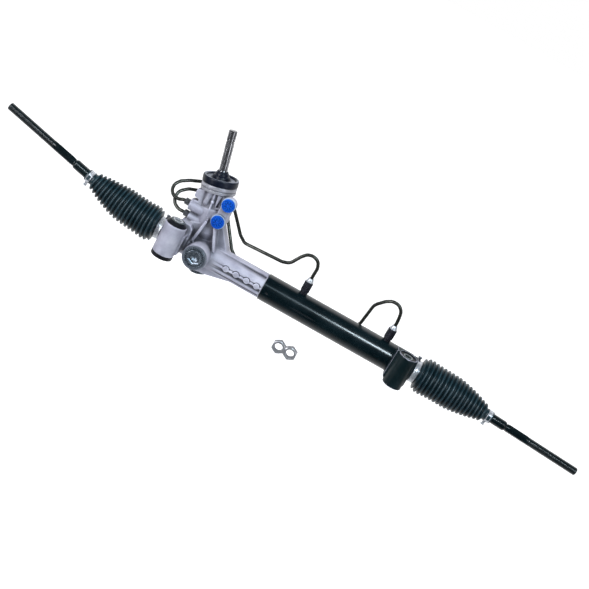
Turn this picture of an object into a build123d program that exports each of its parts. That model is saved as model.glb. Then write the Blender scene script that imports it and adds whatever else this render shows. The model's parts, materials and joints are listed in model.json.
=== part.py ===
"""Hydraulic rack-and-pinion steering gear, built as separate pieces, in millimetres.

The model is laid out about the rack's own axis: x runs along the rack, y to the rear, z up along
the mounting bolts. Each piece is then moved once, so that the origin of the finished part lies
midway between the two mounting bolts, on the plane that their sleeves stand on.
"""
import math
import os

from build123d import *

# ---------------------------------------------------------------- driving dimensions, mm and degrees

# Fits
running = 0.05              # radial clearance of a shaft, bearing or guide
clear = 0.5                 # gap round a moving piece that nothing guides
touch_gap = 0.15            # gap between pieces of two bodies that only lie beside each other

# Mounting
mount_span = 444.0          # between the two mounting bolts
mount_offset = 42.0         # rack axis behind the bolts
seat_drop = 29.0            # bolt seats below the rack axis
bolt_hole_d = 12.2
sleeve_wall = 2.8
left_boss_d = 38.0
left_boss_low = 20.7        # below the rack axis
left_boss_top = 36.0        # above the rack axis
bush_rubber = 6.0           # rubber between sleeve and boss
left_flange_top = 6.0       # rubber collar over the boss
left_flange_low = 6.3       # rubber collar under the boss
left_collar_foot_d = 36.0   # the upper collar narrows from here
left_collar_top_d = 27.0
washer_d = 25.0
washer_t = 1.2
right_boss_d = 34.0
right_boss_low = 26.0
right_boss_top = 34.0
bush_recess = 1.5           # top of the right bush, below its boss's rim
bracket_length = 41.0
bracket_web_low = 24.0      # lower edge of the bracket's web, below the rack axis
bracket_skirt = 12.0        # front of the rack axis where the web ends
bracket_shoulder = 26.0     # front of the rack axis where the web starts to slope down to the tube
bracket_tail = 20.0         # height of the web at the tube

# Rack, cylinder and travel
travel = 65.0               # each way from the rest position
rack_middle = 0.0           # middle of the rack, to the right of the middle of the mounts
rack_d = 25.0
rack_bore_d = 28.0
ball_reach = 58.0           # inner ball joints beyond the housing's ends, with the rack in its middle
socket_d = 29.0
socket_depth = 30.0         # from a ball's centre back to the rack's end
socket_nose = 8.5           # from a ball's centre out to the socket's rim
socket_stud_d = 14.0
socket_stud_length = 20.0
ball_d = 22.0
seat_wall = 1.5
seat_opening = 46.0         # half angle of the seat's mouth
socket_opening = 56.0       # half angle of the socket's mouth
neck_reach = 36.0           # each end of the housing beyond the mounting bolt
neck_d = 35.5
neck_length = 24.0
casting_tube_d = 45.5
casting_end_d = 42.0
tube_d = 48.5
tube_wall = 2.75
casting_tube_length = 123.0  # from the pinion to where the steel tube starts
spigot_length = 40.0        # casting inside the steel tube
tube_taper = 6.0
stake_reach = 10.7          # staking dents that hold the casting, from the tube's start
stake_r = 3.5
stake_depth = 0.9
port_near_reach = 65.0      # near port to the right of the steel tube's start
port_far_reach = 41.0       # far port to the left of the right bolt
piston_width = 14.0
piston_ring_width = 3.0
seal_width = 9.0
seal_wall = 4.0             # of the spigot and the end bush, round their seals
seal_from_spigot_end = 5.0
retainer_t = 1.5
end_bush_width = 16.0
end_bush_wall = 4.0         # the bush's closed outer end

# Gearing
normal_module = 2.0
pinion_teeth = 7
pressure_angle = 20.0
shaft_tilt = 12.3           # the pinion leans this far to the left, and its helix is the same
profile_shift = 0.5
backlash = 0.12
rack_addendum = 1.8
rack_dedendum = 2.05
rack_tooth_top = 8.0        # tooth tops, behind the rack axis
pinion_tip_d = 19.54
toothed_length = 26.0
pinion_reach = 52.0         # pinion to the right of the left bolt

# Pinion tower, measured along the pinion axis from the rack
lower_tower_d = 38.0
tower_foot = 36.5
cap_flats = 30.0
cap_t = 6.0
cap_thread_length = 5.0
lower_journal_d = 12.0
lower_bearing_d = 28.0
lower_race_d = 18.0
bearing_width = 8.0
bearing_gap = 3.0
pinion_nut_flats = 18.0
pinion_nut_t = 5.0
pinion_shaft_d = 16.0
upper_bearing_width = 9.0
upper_bearing_d = 26.0
valve_seal_width = 6.0
valve_seal_d = 28.0
valve_bore_d = 38.0
valve_floor = 36.0
tower_d = 51.0
tower_top = 107.0
tower_taper_foot = 20.0
tower_flare = 3.0
tower_flange_d = 54.0
tower_flange_t = 5.0
cover_d = 61.0
cover_groove = 1.5           # depth and width of the groove round the cover
cover_lower_t = 5.0
cover_t = 15.7
cover_rim_d = 50.0
cover_rim_t = 3.0
dust_cap_d = 62.0
dust_cap_t = 9.3
dust_cap_roof = 3.0
dust_cap_cone_d = 25.0
dust_cap_cone_t = 11.0
pinion_head_d = 30.0
pinion_head_t = 10.0
sleeve_gap = 1.0
valve_sleeve_length = 44.0
valve_ring_width = 2.4
valve_ring_depth = 2.0
rotor_d = 20.0
input_shaft_d = 14.7
input_shaft_length = 213.0
serration_length = 18.0
serrations = 30
serration_width = 2.6       # degrees of each groove
serration_depth = 0.5
groove_width = 3.0
groove_depth = 0.9
input_bearing_d = 28.0
input_seal_d = 30.0
input_seal_t = 8.0
torsion_bar_d = 6.5
torsion_end_d = 9.0
torsion_end_length = 12.0
torsion_top = 200.0

# Arm, webs and ribs of the casting: x and height from the left bolt or the pinion, on the rack axis
arm_reach = (13.0, 22.0)    # left and right of the bolt
arm_height = (-14.7, 22.0)
lug = [(0.0, -19.0), (0.0, 39.0), (19.0, 39.0), (25.0, 33.0), (26.0, 24.0), (26.0, -8.0), (14.0, -19.0)]
lug_front = 24.0            # in front of the rack axis
lug_rear = 4.0
tower_web = [(-14.0, 0.0), (-14.0, 60.0), (-2.0, 82.0), (4.0, 74.0), (42.5, 18.5), (50.0, 12.0), (50.0, 0.0)]
tower_web_front = 4.0       # in front of the rack axis
tower_web_rear = 6.0        # behind the pinion axis
tower_ribs = [(-12.5, 62.0, -20.0, 14.0), (3.5, 62.0, 21.0, 14.0)]
rib_t = 4.0
rib_front = 18.0
rib_rear = 4.0
keel_length = 66.0
keel_flat = 24.0            # how far it keeps its depth beyond the pinion
keel_half = 12.0
keel_depth = 10.0           # below the casting's tube, at the tower
keel_root = 2.0
port_web_inset = 8.0
port_web_front = 19.0
side_root = 10.0            # how far into the tower the pipe port bosses start
side_web = [(-53.0, 66.0), (-53.0, 94.0), (-44.0, 99.0), (-34.0, 99.0), (-30.0, 66.0)]
side_web_front = 3.0        # in front of the rack axis
side_web_rear = 13.0
foot_web = [(-43.0, 8.0), (-43.0, 34.0), (-38.0, 41.0), (-20.0, 47.0), (-20.0, 8.0)]
foot_web_front = 9.0
foot_web_rear = 15.0
gallery_d = 15.0            # cast round the oil drilling from each hose port to the valve

# Yoke
yoke_boss_d = 44.0
yoke_boss_length = 46.0
yoke_bore_d = 34.0
yoke_back = 3.0
yoke_front = 33.0
yoke_liner = 0.5
liner_half = 12.0
yoke_plug_t = 8.0
yoke_plug_proud = 1.5
yoke_socket_flats = 17.0
yoke_socket_depth = 5.0
spring_wire = 3.0
spring_d = 17.0
spring_turns = 2.5
spring_pocket = 4.0
o_ring_d = 2.0

# Hose ports, closed by transit plugs, on the front of the tower: x from the pinion, height
port_places = {"upper": (8.5, 102.0), "lower": (5.0, 68.0)}
port_roots = {"upper": 8.0, "lower": -14.0}     # rear of each boss, in front of the rack axis
port_boss_d = 25.0
port_front = 24.0           # boss faces, in front of the rack axis
port_thread_d = 16.0
port_depth = 12.0
port_drill_d = 6.0
plug_head_d = 22.5
plug_head_t = 4.0
plug_wall = 1.6

# Pipe ports on the left of the tower: height, boss diameter, boss end to the left of the pinion
side_ports = {"upper": (64.2, 20.5, 54.4), "lower": (45.1, 16.5, 47.6)}
side_port_y = 4.0           # behind the rack axis
side_nut_flats = 11.0
side_nut_length = 9.0
side_nut_seat = 6.0

# Transfer pipes
pipe_d = 6.0
pipe_wall = 0.9
pipe_straight = 4.0         # straight pipe beyond each fitting
port_seat = 6.0             # depth of each port boss drilling
cylinder_boss_d = 13.5
cylinder_boss_rise = 4.75
cylinder_nut_flats = 15.0
cylinder_nut_length = 18.0
collar_length = 7.5
collar_d = 13.5
collar_tip_d = 8.6
cylinder_drill_d = 4.0

pipe_bend_r = 16.0
pipe_bend_share = 0.45
# Points of the pipes between their fittings: x from the pinion or from the cylinder port, y, z
near_route_tower = [
    (-73.4, 6.0, 60.1), (-85.2, 10.0, 58.3), (-93.9, 16.0, 64.4), (-95.7, 22.0, 74.1),
    (-89.0, 28.0, 82.9), (-76.1, 36.0, 89.4), (-53.2, 48.0, 96.9), (-33.0, 54.0, 101.9),
    (-2.4, 56.0, 90.5), (14.8, 52.0, 75.4), (44.4, 30.0, 49.8), (58.0, 18.0, 44.7),
]
near_route_port = [
    (-89.9, 6.0, 51.0), (-57.4, 0.0, 54.8), (-44.6, 0.0, 59.3), (-33.5, 0.0, 78.5),
    (-25.9, 0.0, 87.9), (-14.9, 0.0, 90.7), (-4.0, 0.0, 86.5), (0.6, 0.0, 75.0),
]
far_route_tower = [
    (-67.4, 6.0, 44.1), (-78.1, 10.0, 47.5), (-84.1, 15.0, 56.6), (-82.8, 21.0, 68.1),
    (-70.8, 30.0, 76.9), (-53.2, 42.0, 80.3), (-29.9, 50.0, 81.4), (-2.6, 52.0, 73.5),
    (7.6, 50.0, 61.4), (42.2, 36.0, 16.5), (56.1, 33.0, 6.5),
]
far_route_port = [
    (-66.4, 33.0, 5.5), (-50.9, 33.0, 11.6), (-47.4, 18.0, 60.1), (-44.1, 14.0, 67.7),
    (-33.9, 8.0, 81.3), (-24.3, 4.0, 88.7), (-11.9, 1.0, 89.2), (-3.5, 0.0, 81.2),
    (-1.0, 0.0, 68.7),
]

# Tie rods, measured from each ball's centre
swing_up_angle = {"left": 13.1, "right": -3.6}
boot_clamp_reach = 82.0
rod_length = 261.5
rod_neck_d = 13.0
rod_neck_end = 32.0
rod_body_start = 40.0
rod_body_d = 17.0
rod_body_end = 116.0
rod_flats = 13.2
rod_flats_end = 163.0
rod_thread_d = 14.0
rod_chamfer = 1.2
rod_relief = 0.4            # step down at each end of the flats
rod_shoulder = 3.0

# Boots and their clamps
boot_folds = 17
boot_fold_depth = 5.0
boot_wall = 1.2
boot_overhang = 2.0         # folds over the housing's end
cuff_wall = 2.1
cuff_length = 12.0
small_cuff_length = 13.0
small_cuff_wall = 2.0
boot_profile = [(0.0, 61.0), (0.1, 65.5), (0.2, 62.5), (0.5, 61.5), (0.6, 58.0),
                (0.72, 51.5), (0.82, 45.0), (0.9, 38.0), (1.0, 31.0)]
clamp_band = 0.8
large_clamp_width = 9.0
small_clamp_width = 8.0
clamp_ear_height = 8.0
clamp_ear_t = 4.0
clamp_ear_shift = 4.0       # of a large clamp's ear, towards the middle of the rack

# Loose nuts for the tie rod threads
nut_flats = 21.0
nut_t = 9.0
nut_front = 100.0           # in front of the rack axis
nut_x = 36.0
nut_floor = 52.0            # below the rack axis

# ---------------------------------------------------------------------------------- derived sizes

housing_end = mount_span / 2 + neck_reach
ball_span = 2 * (housing_end + ball_reach)
pinion_x = pinion_reach - mount_span / 2
tube_start = pinion_x + casting_tube_length
tube_neck_start = housing_end - neck_length
port_near_x = tube_start + port_near_reach
port_far_x = mount_span / 2 - port_far_reach

tilt = math.radians(shaft_tilt)
tooth_pitch = math.pi * normal_module
transverse_module = normal_module / math.cos(tilt)
pitch_radius = pinion_teeth * transverse_module / 2
rack_reference = rack_tooth_top - rack_addendum
pinion_y = rack_reference + pitch_radius + profile_shift * normal_module

neck_bore_d = socket_d + 2 * clear
rack_end = ball_span / 2 - socket_depth
sleeve_d = bolt_hole_d + 2 * sleeve_wall
bush_d = sleeve_d + 2 * bush_rubber
tube_bore_d = tube_d - 2 * tube_wall
seal_d = tube_bore_d - 2 * seal_wall
cylinder_boss_top = tube_d / 2 + cylinder_boss_rise
cylinder_nut_top = cylinder_boss_top + cylinder_nut_length
collar_top = cylinder_nut_top + collar_length
piston_x = (port_near_x + port_far_x) / 2
spigot_end = tube_start + spigot_length
inner_seal_x = spigot_end - seal_from_spigot_end - retainer_t - seal_width
bulkhead_x = rack_middle + ball_span / 2 - socket_depth - travel - 2 * clear
left_bore_x = rack_middle - ball_span / 2 + socket_depth + travel + 2 * clear

lower_bearing_top = -toothed_length / 2 - bearing_gap
lower_bearing_foot = lower_bearing_top - bearing_width
nut_foot = lower_bearing_foot - pinion_nut_t
upper_bearing_foot = toothed_length / 2 + bearing_gap
upper_bearing_top = upper_bearing_foot + upper_bearing_width
head_foot = valve_floor + sleeve_gap
head_top = head_foot + pinion_head_t
valve_sleeve_foot = head_top
valve_sleeve_top = valve_sleeve_foot + valve_sleeve_length
cover_top = tower_top + cover_t
cap_bottom = cover_top
cap_top = cap_bottom + dust_cap_t
cone_top = cap_top + dust_cap_cone_t
rod_body_r = rod_body_d / 2

# --------------------------------------------------------------------------------------- places

ALONG_RACK = Plane(origin=(0, 0, 0), x_dir=(0, 1, 0), z_dir=(1, 0, 0)).location
ON_PINION = Plane(
    origin=(pinion_x, pinion_y, 0),
    x_dir=(math.cos(tilt), 0, math.sin(tilt)),
    z_dir=(-math.sin(tilt), 0, math.cos(tilt)),
).location
SIDES = {"left": -1, "right": 1}


def facing_front(x, z):
    """A place on the rack axis plane whose z axis points to the front."""
    return Plane(origin=(x, 0, z), x_dir=(1, 0, 0), z_dir=(0, -1, 0)).location


def upright(x, y):
    """A place whose z axis points up."""
    return Location((x, y, 0))


def facing_left(y, z):
    """A place in the middle of the part whose z axis points to the left."""
    return Plane(origin=(0, y, z), x_dir=(0, 1, 0), z_dir=(-1, 0, 0)).location


def ball_centre(side):
    """The centre of one inner ball joint."""
    return Vector(rack_middle + SIDES[side] * ball_span / 2, 0, 0)


def rod_direction(side):
    """The direction in which one tie rod leaves its ball joint."""
    swing = math.radians(swing_up_angle[side])
    return Vector(SIDES[side] * math.cos(swing), 0, math.sin(swing))


def on_rod(side):
    """A place at a ball's centre whose z axis runs out along the tie rod and whose x axis is level."""
    return Plane(origin=ball_centre(side), x_dir=(0, 1, 0), z_dir=rod_direction(side)).location


def on_socket(side):
    """A place at a ball's centre whose z axis runs out along the rack."""
    return Plane(origin=ball_centre(side), x_dir=(0, 1, 0), z_dir=(SIDES[side], 0, 0)).location


# --------------------------------------------------------------------------------------- shapes

def turned(place, outline):
    """A solid of revolution about the z axis of place, from (radius, height) points."""
    points = [(radius, 0, height) for radius, height in outline]
    return place * revolve(make_face(Polyline(*points, close=True)), Axis.Z, 360)


def cylinder(place, start, stop, diameter):
    """A round bar along the z axis of place, from one height to another."""
    return place * Pos(0, 0, (start + stop) / 2) * Cylinder(diameter / 2, stop - start)


def ring(place, start, stop, outer_d, inner_d):
    """A plain ring along the z axis of place."""
    return cylinder(place, start, stop, outer_d) - cylinder(place, start - 1, stop + 1, inner_d)


def hexagon(place, start, stop, flats, turn=0):
    """A hexagonal bar along the z axis of place, by its size across flats."""
    section = Rot(0, 0, turn) * RegularPolygon(flats / 2, 6, major_radius=False)
    return place * Pos(0, 0, start) * extrude(section, stop - start)


def plate(outline, y_front, y_rear):
    """A plate between two distances from the rack axis plane, from (x, z) points."""
    face = make_face(Polyline(*[(x, y_front, z) for x, z in outline], close=True))
    return extrude(face, y_rear - y_front, dir=(0, 1, 0))


def bar(outline, x_low, x_high):
    """A bar along the rack between two distances, from (y, z) points."""
    face = make_face(Polyline(*[(x_low, y, z) for y, z in outline], close=True))
    return extrude(face, x_high - x_low, dir=(1, 0, 0))


def box(x_low, x_high, y_low, y_high, z_low, z_high):
    """A block between two corners."""
    middle = ((x_low + x_high) / 2, (y_low + y_high) / 2, (z_low + z_high) / 2)
    return Pos(*middle) * Box(x_high - x_low, y_high - y_low, z_high - z_low)


# --------------------------------------------------------------------------------------- gearing

def pinion_section():
    """The transverse section of the pinion: involute teeth with the given profile shift."""
    pressure = math.atan(math.tan(math.radians(pressure_angle)) / math.cos(tilt))
    base_radius = pitch_radius * math.cos(pressure)
    tip_radius = pinion_tip_d / 2
    root_radius = pinion_y - rack_reference - rack_addendum - clear / 2
    lean = 2 * profile_shift * math.tan(math.radians(pressure_angle))
    thickness = (math.pi / 2 + lean) * transverse_module - backlash / math.cos(tilt)
    half_at_pitch = thickness / (2 * pitch_radius)

    def half_angle(radius):
        """Half of the tooth's angle at a radius on its involute."""
        here = math.acos(min(1.0, base_radius / radius))
        return half_at_pitch + math.tan(pressure) - pressure - math.tan(here) + here

    steps = 8
    radii = [base_radius + (tip_radius - base_radius) * (i / steps) ** 1.5 for i in range(steps + 1)]
    edges = []
    for tooth in range(pinion_teeth):
        middle = -math.pi / 2 + 2 * math.pi * tooth / pinion_teeth
        flank = [(radius, half_angle(radius)) for radius in radii]
        rising = [(r * math.cos(middle - a), r * math.sin(middle - a)) for r, a in flank]
        falling = [(r * math.cos(middle + a), r * math.sin(middle + a)) for r, a in reversed(flank)]
        foot = half_angle(base_radius)
        first = (root_radius * math.cos(middle - foot), root_radius * math.sin(middle - foot))
        last = (root_radius * math.cos(middle + foot), root_radius * math.sin(middle + foot))
        tip = (tip_radius * math.cos(middle), tip_radius * math.sin(middle))
        between = middle + math.pi / pinion_teeth
        valley = (root_radius * math.cos(between), root_radius * math.sin(between))
        following = middle + 2 * math.pi / pinion_teeth - foot
        next_first = (root_radius * math.cos(following), root_radius * math.sin(following))
        edges += [
            Line(first, rising[0]),
            Spline(*rising),
            ThreePointArc(rising[-1], tip, falling[0]),
            Spline(*falling),
            Line(falling[-1], last),
            ThreePointArc(last, valley, next_first),
        ]
    return make_face(edges)


def pinion_gear():
    """The helical teeth, with one tooth facing the rack at the height of the rack axis."""
    section = pinion_section()
    turn = math.degrees(toothed_length * math.tan(tilt) / pitch_radius)
    outer = section.faces()[0].outer_wire()
    gear = Solid.extrude_linear_with_rotation(outer, (0, 0, 0), (0, 0, toothed_length), turn)
    return ON_PINION * Pos(0, 0, -toothed_length / 2) * Rot(0, 0, -turn / 2) * gear


def rack_teeth_cut():
    """Everything cut from the rack's rear to leave its teeth."""
    slope = math.tan(math.radians(pressure_angle))
    half = tooth_pitch / 4
    above = rack_addendum + clear
    gap_count = 2 * math.ceil(travel / tooth_pitch + 1.5) + 1
    reach = (gap_count / 2) * tooth_pitch
    cut = box(pinion_x - reach, pinion_x + reach, rack_tooth_top, rack_d, -rack_d, rack_d)
    for index in range(gap_count):
        x = pinion_x + (index - (gap_count - 1) / 2) * tooth_pitch
        points = [
            (x - half - above * slope, rack_reference + above),
            (x - half + rack_dedendum * slope, rack_reference - rack_dedendum),
            (x + half - rack_dedendum * slope, rack_reference - rack_dedendum),
            (x + half + above * slope, rack_reference + above),
        ]
        gap = extrude(make_face(Polyline(*points, close=True)), rack_d, both=True)
        cut += gap
    return cut


# --------------------------------------------------------------------------------------- housing

def port_x(name):
    """The x position of a hose port."""
    return pinion_x + port_places[name][0]


def gallery(name):
    """The run of the oil drilling, level from the bottom of a hose port to the valve's axis."""
    height = port_places[name][1]
    start = Vector(port_x(name), port_depth - port_front, height)
    return start, Vector(pinion_x - height * math.tan(tilt), pinion_y, height) - start


def to_valve(name):
    """The place of the oil drilling of one hose port, with its z axis towards the valve."""
    start, run = gallery(name)
    return Plane(origin=start, z_dir=run).location


def gallery_length(name):
    """The length of the oil drilling: to the valve's axis."""
    return gallery(name)[1].length


def rack_housing():
    """The aluminium casting: left neck and mount, pinion tower, yoke boss and a tube section."""
    left = -housing_end
    mount = upright(-mount_span / 2, -mount_offset)
    yoke = facing_front(pinion_x, 0)
    body = cylinder(ALONG_RACK, left, left + neck_length + 1, neck_d)
    body += cylinder(ALONG_RACK, left + neck_length, pinion_x + side_root, casting_end_d)
    body += cylinder(ALONG_RACK, pinion_x, tube_start, casting_tube_d)
    body += cylinder(ALONG_RACK, tube_start - 1, spigot_end, tube_bore_d)
    body += cylinder(mount, -left_boss_low, left_boss_top, left_boss_d)
    bolt_x = -mount_span / 2
    body += box(
        bolt_x - arm_reach[0], bolt_x + arm_reach[1], -mount_offset, 0, arm_height[0], arm_height[1],
    )
    body += plate([(bolt_x + x, z) for x, z in lug], -lug_front, lug_rear)
    body += cylinder(yoke, 0, yoke_boss_length, yoke_boss_d)
    body += cylinder(ON_PINION, -tower_foot, valve_floor, lower_tower_d)
    body += turned(ON_PINION, [
        (0, tower_taper_foot), (lower_tower_d / 2, tower_taper_foot), (tower_d / 2, valve_floor),
        (tower_d / 2, tower_top - tower_flange_t - tower_flare),
        (tower_flange_d / 2, tower_top - tower_flange_t), (tower_flange_d / 2, tower_top), (0, tower_top),
    ])
    for name, (offset, height) in port_places.items():
        body += cylinder(facing_front(pinion_x + offset, height), port_roots[name], port_front, port_boss_d)
        body += cylinder(to_valve(name), 0, gallery_length(name), gallery_d)
    body += box(
        port_x("lower") - port_web_inset, port_x("upper") + port_web_inset, -port_web_front, port_web_inset,
        port_places["lower"][1], port_places["upper"][1],
    )
    for height, boss_d, reach in side_ports.values():
        body += cylinder(facing_left(side_port_y, height), -pinion_x - side_root, reach - pinion_x, boss_d)
    webs = (
        (tower_web, -tower_web_front, pinion_y + tower_web_rear),
        (side_web, -side_web_front, side_web_rear),
        (foot_web, -foot_web_front, foot_web_rear),
    )
    for outline, web_front, web_rear in webs:
        body += plate([(pinion_x + x, z) for x, z in outline], web_front, web_rear)
    for top_x, top_z, foot_x, foot_z in tower_ribs:
        body += plate([
            (pinion_x + top_x - rib_t / 2, top_z), (pinion_x + top_x + rib_t / 2, top_z),
            (pinion_x + foot_x + rib_t / 2, foot_z), (pinion_x + foot_x - rib_t / 2, foot_z),
        ], -rib_front, rib_rear)
    keel = casting_tube_d / 2
    body += plate([
        (pinion_x, 0), (pinion_x, -keel - keel_depth), (pinion_x + keel_flat, -keel - keel_depth + keel_root),
        (pinion_x + keel_length, -keel + keel_root), (pinion_x + keel_length, 0),
    ], -keel_half, keel_half)

    body -= cylinder(ALONG_RACK, left - 1, left_bore_x, neck_bore_d)
    body -= cylinder(ALONG_RACK, left_bore_x - 1, spigot_end + 1, rack_bore_d)
    body -= cylinder(ALONG_RACK, inner_seal_x, spigot_end + 1, seal_d)
    body -= cylinder(mount, -left_boss_low - 1, left_boss_top + 1, bush_d)
    body -= cylinder(mount, left_boss_top, left_boss_top + left_flange_top, left_boss_d + 2 * clear)
    body -= cylinder(yoke, yoke_back - 1, yoke_boss_length + 1, yoke_bore_d)
    body -= cylinder(ON_PINION, -tower_foot - 1, lower_bearing_top, lower_bearing_d)
    body -= cylinder(ON_PINION, lower_bearing_top - 1, upper_bearing_foot, pinion_tip_d + 2 * clear)
    body -= cylinder(ON_PINION, upper_bearing_foot - 1, upper_bearing_top, upper_bearing_d)
    body -= cylinder(ON_PINION, upper_bearing_top - 1, valve_floor + 1, valve_seal_d)
    body -= cylinder(ON_PINION, valve_floor, tower_top + 1, valve_bore_d)
    body -= cylinder(ON_PINION, tower_top, tower_top + tower_d, cover_d + 2 * clear)
    for name, (offset, height) in port_places.items():
        mouth = facing_front(pinion_x + offset, height)
        body -= cylinder(mouth, port_front - port_depth, port_front + 1, port_thread_d)
        body -= cylinder(to_valve(name), 0, gallery_length(name), port_drill_d)
    for height, boss_d, reach in side_ports.values():
        mouth = facing_left(side_port_y, height)
        end = reach - pinion_x
        body -= cylinder(mouth, -pinion_x, end + 1, pipe_d + 2 * touch_gap)
        body -= cylinder(mouth, end - side_nut_seat, end + 1, side_nut_flats - 1)
    return body


def cylinder_tube():
    """The steel cylinder tube, drawn down at its right end to the neck that the boot grips."""
    outer = tube_d / 2
    body = turned(ALONG_RACK, [
        (0, tube_start), (outer, tube_start), (outer, tube_neck_start),
        (neck_d / 2, tube_neck_start + tube_taper), (neck_d / 2, housing_end), (0, housing_end),
    ])
    body -= cylinder(ALONG_RACK, tube_start - 1, bulkhead_x, tube_bore_d)
    body -= cylinder(ALONG_RACK, bulkhead_x - 1, housing_end + 1, neck_bore_d)
    for x in (port_near_x, port_far_x):
        body -= cylinder(upright(x, 0), 0, tube_d, cylinder_drill_d)
    for way in (-1, 1):
        stake = (tube_start + stake_reach, way * (outer + stake_r - stake_depth), 0)
        body -= Pos(*stake) * Sphere(stake_r)
    return body


def right_bracket():
    """The steel bracket welded to the tube, with its upright boss."""
    x = mount_span / 2
    body = cylinder(upright(x, -mount_offset), -right_boss_low, right_boss_top, right_boss_d)
    body += plate([
        (x - bracket_length / 2, right_boss_top), (x + bracket_length / 2 - 2, right_boss_top),
        (x + bracket_length / 2 - 2, -bracket_web_low + 6), (x + bracket_length / 2 - 8, -bracket_web_low),
        (x - bracket_length / 2 + 5, -bracket_web_low), (x - bracket_length / 2, -bracket_web_low + 5),
    ], -mount_offset, -bracket_skirt)
    body -= bar([
        (-bracket_shoulder, right_boss_top), (-bracket_shoulder, right_boss_top + 1),
        (-bracket_skirt + 1, right_boss_top + 1), (-bracket_skirt + 1, bracket_tail),
        (-bracket_skirt, bracket_tail),
    ], x - bracket_length, x + bracket_length)
    body -= cylinder(ALONG_RACK, x - tube_d, x + tube_d, tube_d)
    body -= cylinder(upright(x, -mount_offset), -tube_d, tube_d, bush_d)
    return body


def mount_pieces():
    """The rubber bushes, their steel sleeves and the left mount's end washer."""
    left = upright(-mount_span / 2, -mount_offset)
    right = upright(mount_span / 2, -mount_offset)
    flange_top = left_boss_top + left_flange_top
    flange_low = -left_boss_low - left_flange_low
    left_bush = turned(left, [
        (sleeve_d / 2, flange_low), (left_boss_d / 2 - 1, flange_low),
        (left_boss_d / 2, flange_low + 1.5), (left_boss_d / 2, -left_boss_low),
        (bush_d / 2, -left_boss_low), (bush_d / 2, left_boss_top), (left_collar_foot_d / 2, left_boss_top),
        (left_collar_foot_d / 2, left_boss_top + 1), (left_collar_top_d / 2, flange_top - 1),
        (left_collar_top_d / 2 - 1, flange_top), (sleeve_d / 2, flange_top),
    ])
    right_bush = ring(right, -right_boss_low, right_boss_top - bush_recess, bush_d, sleeve_d)
    washer_top = flange_top + washer_t
    return {
        "left_bush": left_bush,
        "left_bush_sleeve": ring(left, -seat_drop, washer_top + clear, sleeve_d, bolt_hole_d),
        "left_bush_washer": turned(left, [
            (sleeve_d / 2, flange_top), (washer_d / 2, flange_top),
            (washer_d / 2 - washer_t / 2, washer_top), (sleeve_d / 2, washer_top),
        ]),
        "right_bush": right_bush,
        "right_bush_sleeve": ring(
            right, -seat_drop, right_boss_top - bush_recess + touch_gap, sleeve_d, bolt_hole_d,
        ),
    }


def cylinder_internals():
    """The seals and the bulkhead that close the two ends of the power cylinder."""
    sliding = rack_d + 2 * running
    seal_end = inner_seal_x + seal_width
    bush_x = bulkhead_x - end_bush_width
    return {
        "inner_rack_seal": ring(ALONG_RACK, inner_seal_x, seal_end, seal_d, sliding),
        "inner_seal_retainer": ring(
            ALONG_RACK, seal_end, seal_end + retainer_t, seal_d, rack_bore_d,
        ),
        "end_bush": ring(ALONG_RACK, bush_x, bulkhead_x, tube_bore_d, seal_d)
        + ring(ALONG_RACK, bulkhead_x - end_bush_wall, bulkhead_x, tube_bore_d, sliding),
        "outer_rack_seal": ring(
            ALONG_RACK, bulkhead_x - end_bush_wall - seal_width, bulkhead_x - end_bush_wall, seal_d, sliding,
        ),
        "end_bush_retainer": ring(ALONG_RACK, bush_x - retainer_t, bush_x, tube_bore_d, rack_bore_d),
    }


# --------------------------------------------------------------------------------------- yoke

def yoke_pieces():
    """The spring-loaded yoke that presses the rack against the pinion, and its plug."""
    place = facing_front(pinion_x, 0)
    plug_back = yoke_boss_length - yoke_plug_t
    guided_d = yoke_bore_d - 2 * running
    liner_d = rack_d + 2 * running + 2 * yoke_liner
    yoke = cylinder(place, yoke_back, yoke_front, guided_d)
    yoke -= cylinder(ALONG_RACK, pinion_x - yoke_bore_d, pinion_x + yoke_bore_d, liner_d)
    yoke -= cylinder(place, yoke_front - spring_pocket, yoke_front + 1, spring_d + spring_wire + 1)
    groove = ring(place, yoke_front - 9, yoke_front - 9 + o_ring_d, guided_d + 1, guided_d - 2 * o_ring_d)
    yoke -= groove
    liner = ring(
        ALONG_RACK, pinion_x - liner_half, pinion_x + liner_half, liner_d, rack_d + 2 * running,
    )
    liner &= cylinder(place, yoke_back + 2, yoke_front, guided_d - 6)
    spring_start = yoke_front - spring_pocket + spring_wire / 2
    spring_height = plug_back - spring_wire / 2 - spring_start
    helix = Helix(spring_height / spring_turns, spring_height, spring_d / 2)
    wire_section = Plane(origin=helix @ 0, z_dir=helix % 0) * Circle(spring_wire / 2)
    spring = place * Pos(0, 0, spring_start) * sweep(wire_section, path=helix)
    plug = cylinder(place, plug_back, yoke_boss_length, yoke_bore_d)
    plug += cylinder(place, yoke_boss_length, yoke_boss_length + yoke_plug_proud, yoke_bore_d + 2)
    top = yoke_boss_length + yoke_plug_proud
    plug -= hexagon(place, top - yoke_socket_depth, top + 1, yoke_socket_flats)
    return {
        "yoke": yoke,
        "yoke_liner": liner,
        "yoke_o_ring": ring(
            place, yoke_front - 9, yoke_front - 9 + o_ring_d, guided_d, guided_d - 2 * o_ring_d,
        ),
        "yoke_spring": spring,
        "yoke_plug": plug,
    }


# --------------------------------------------------------------------------------- pinion and valve

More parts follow.
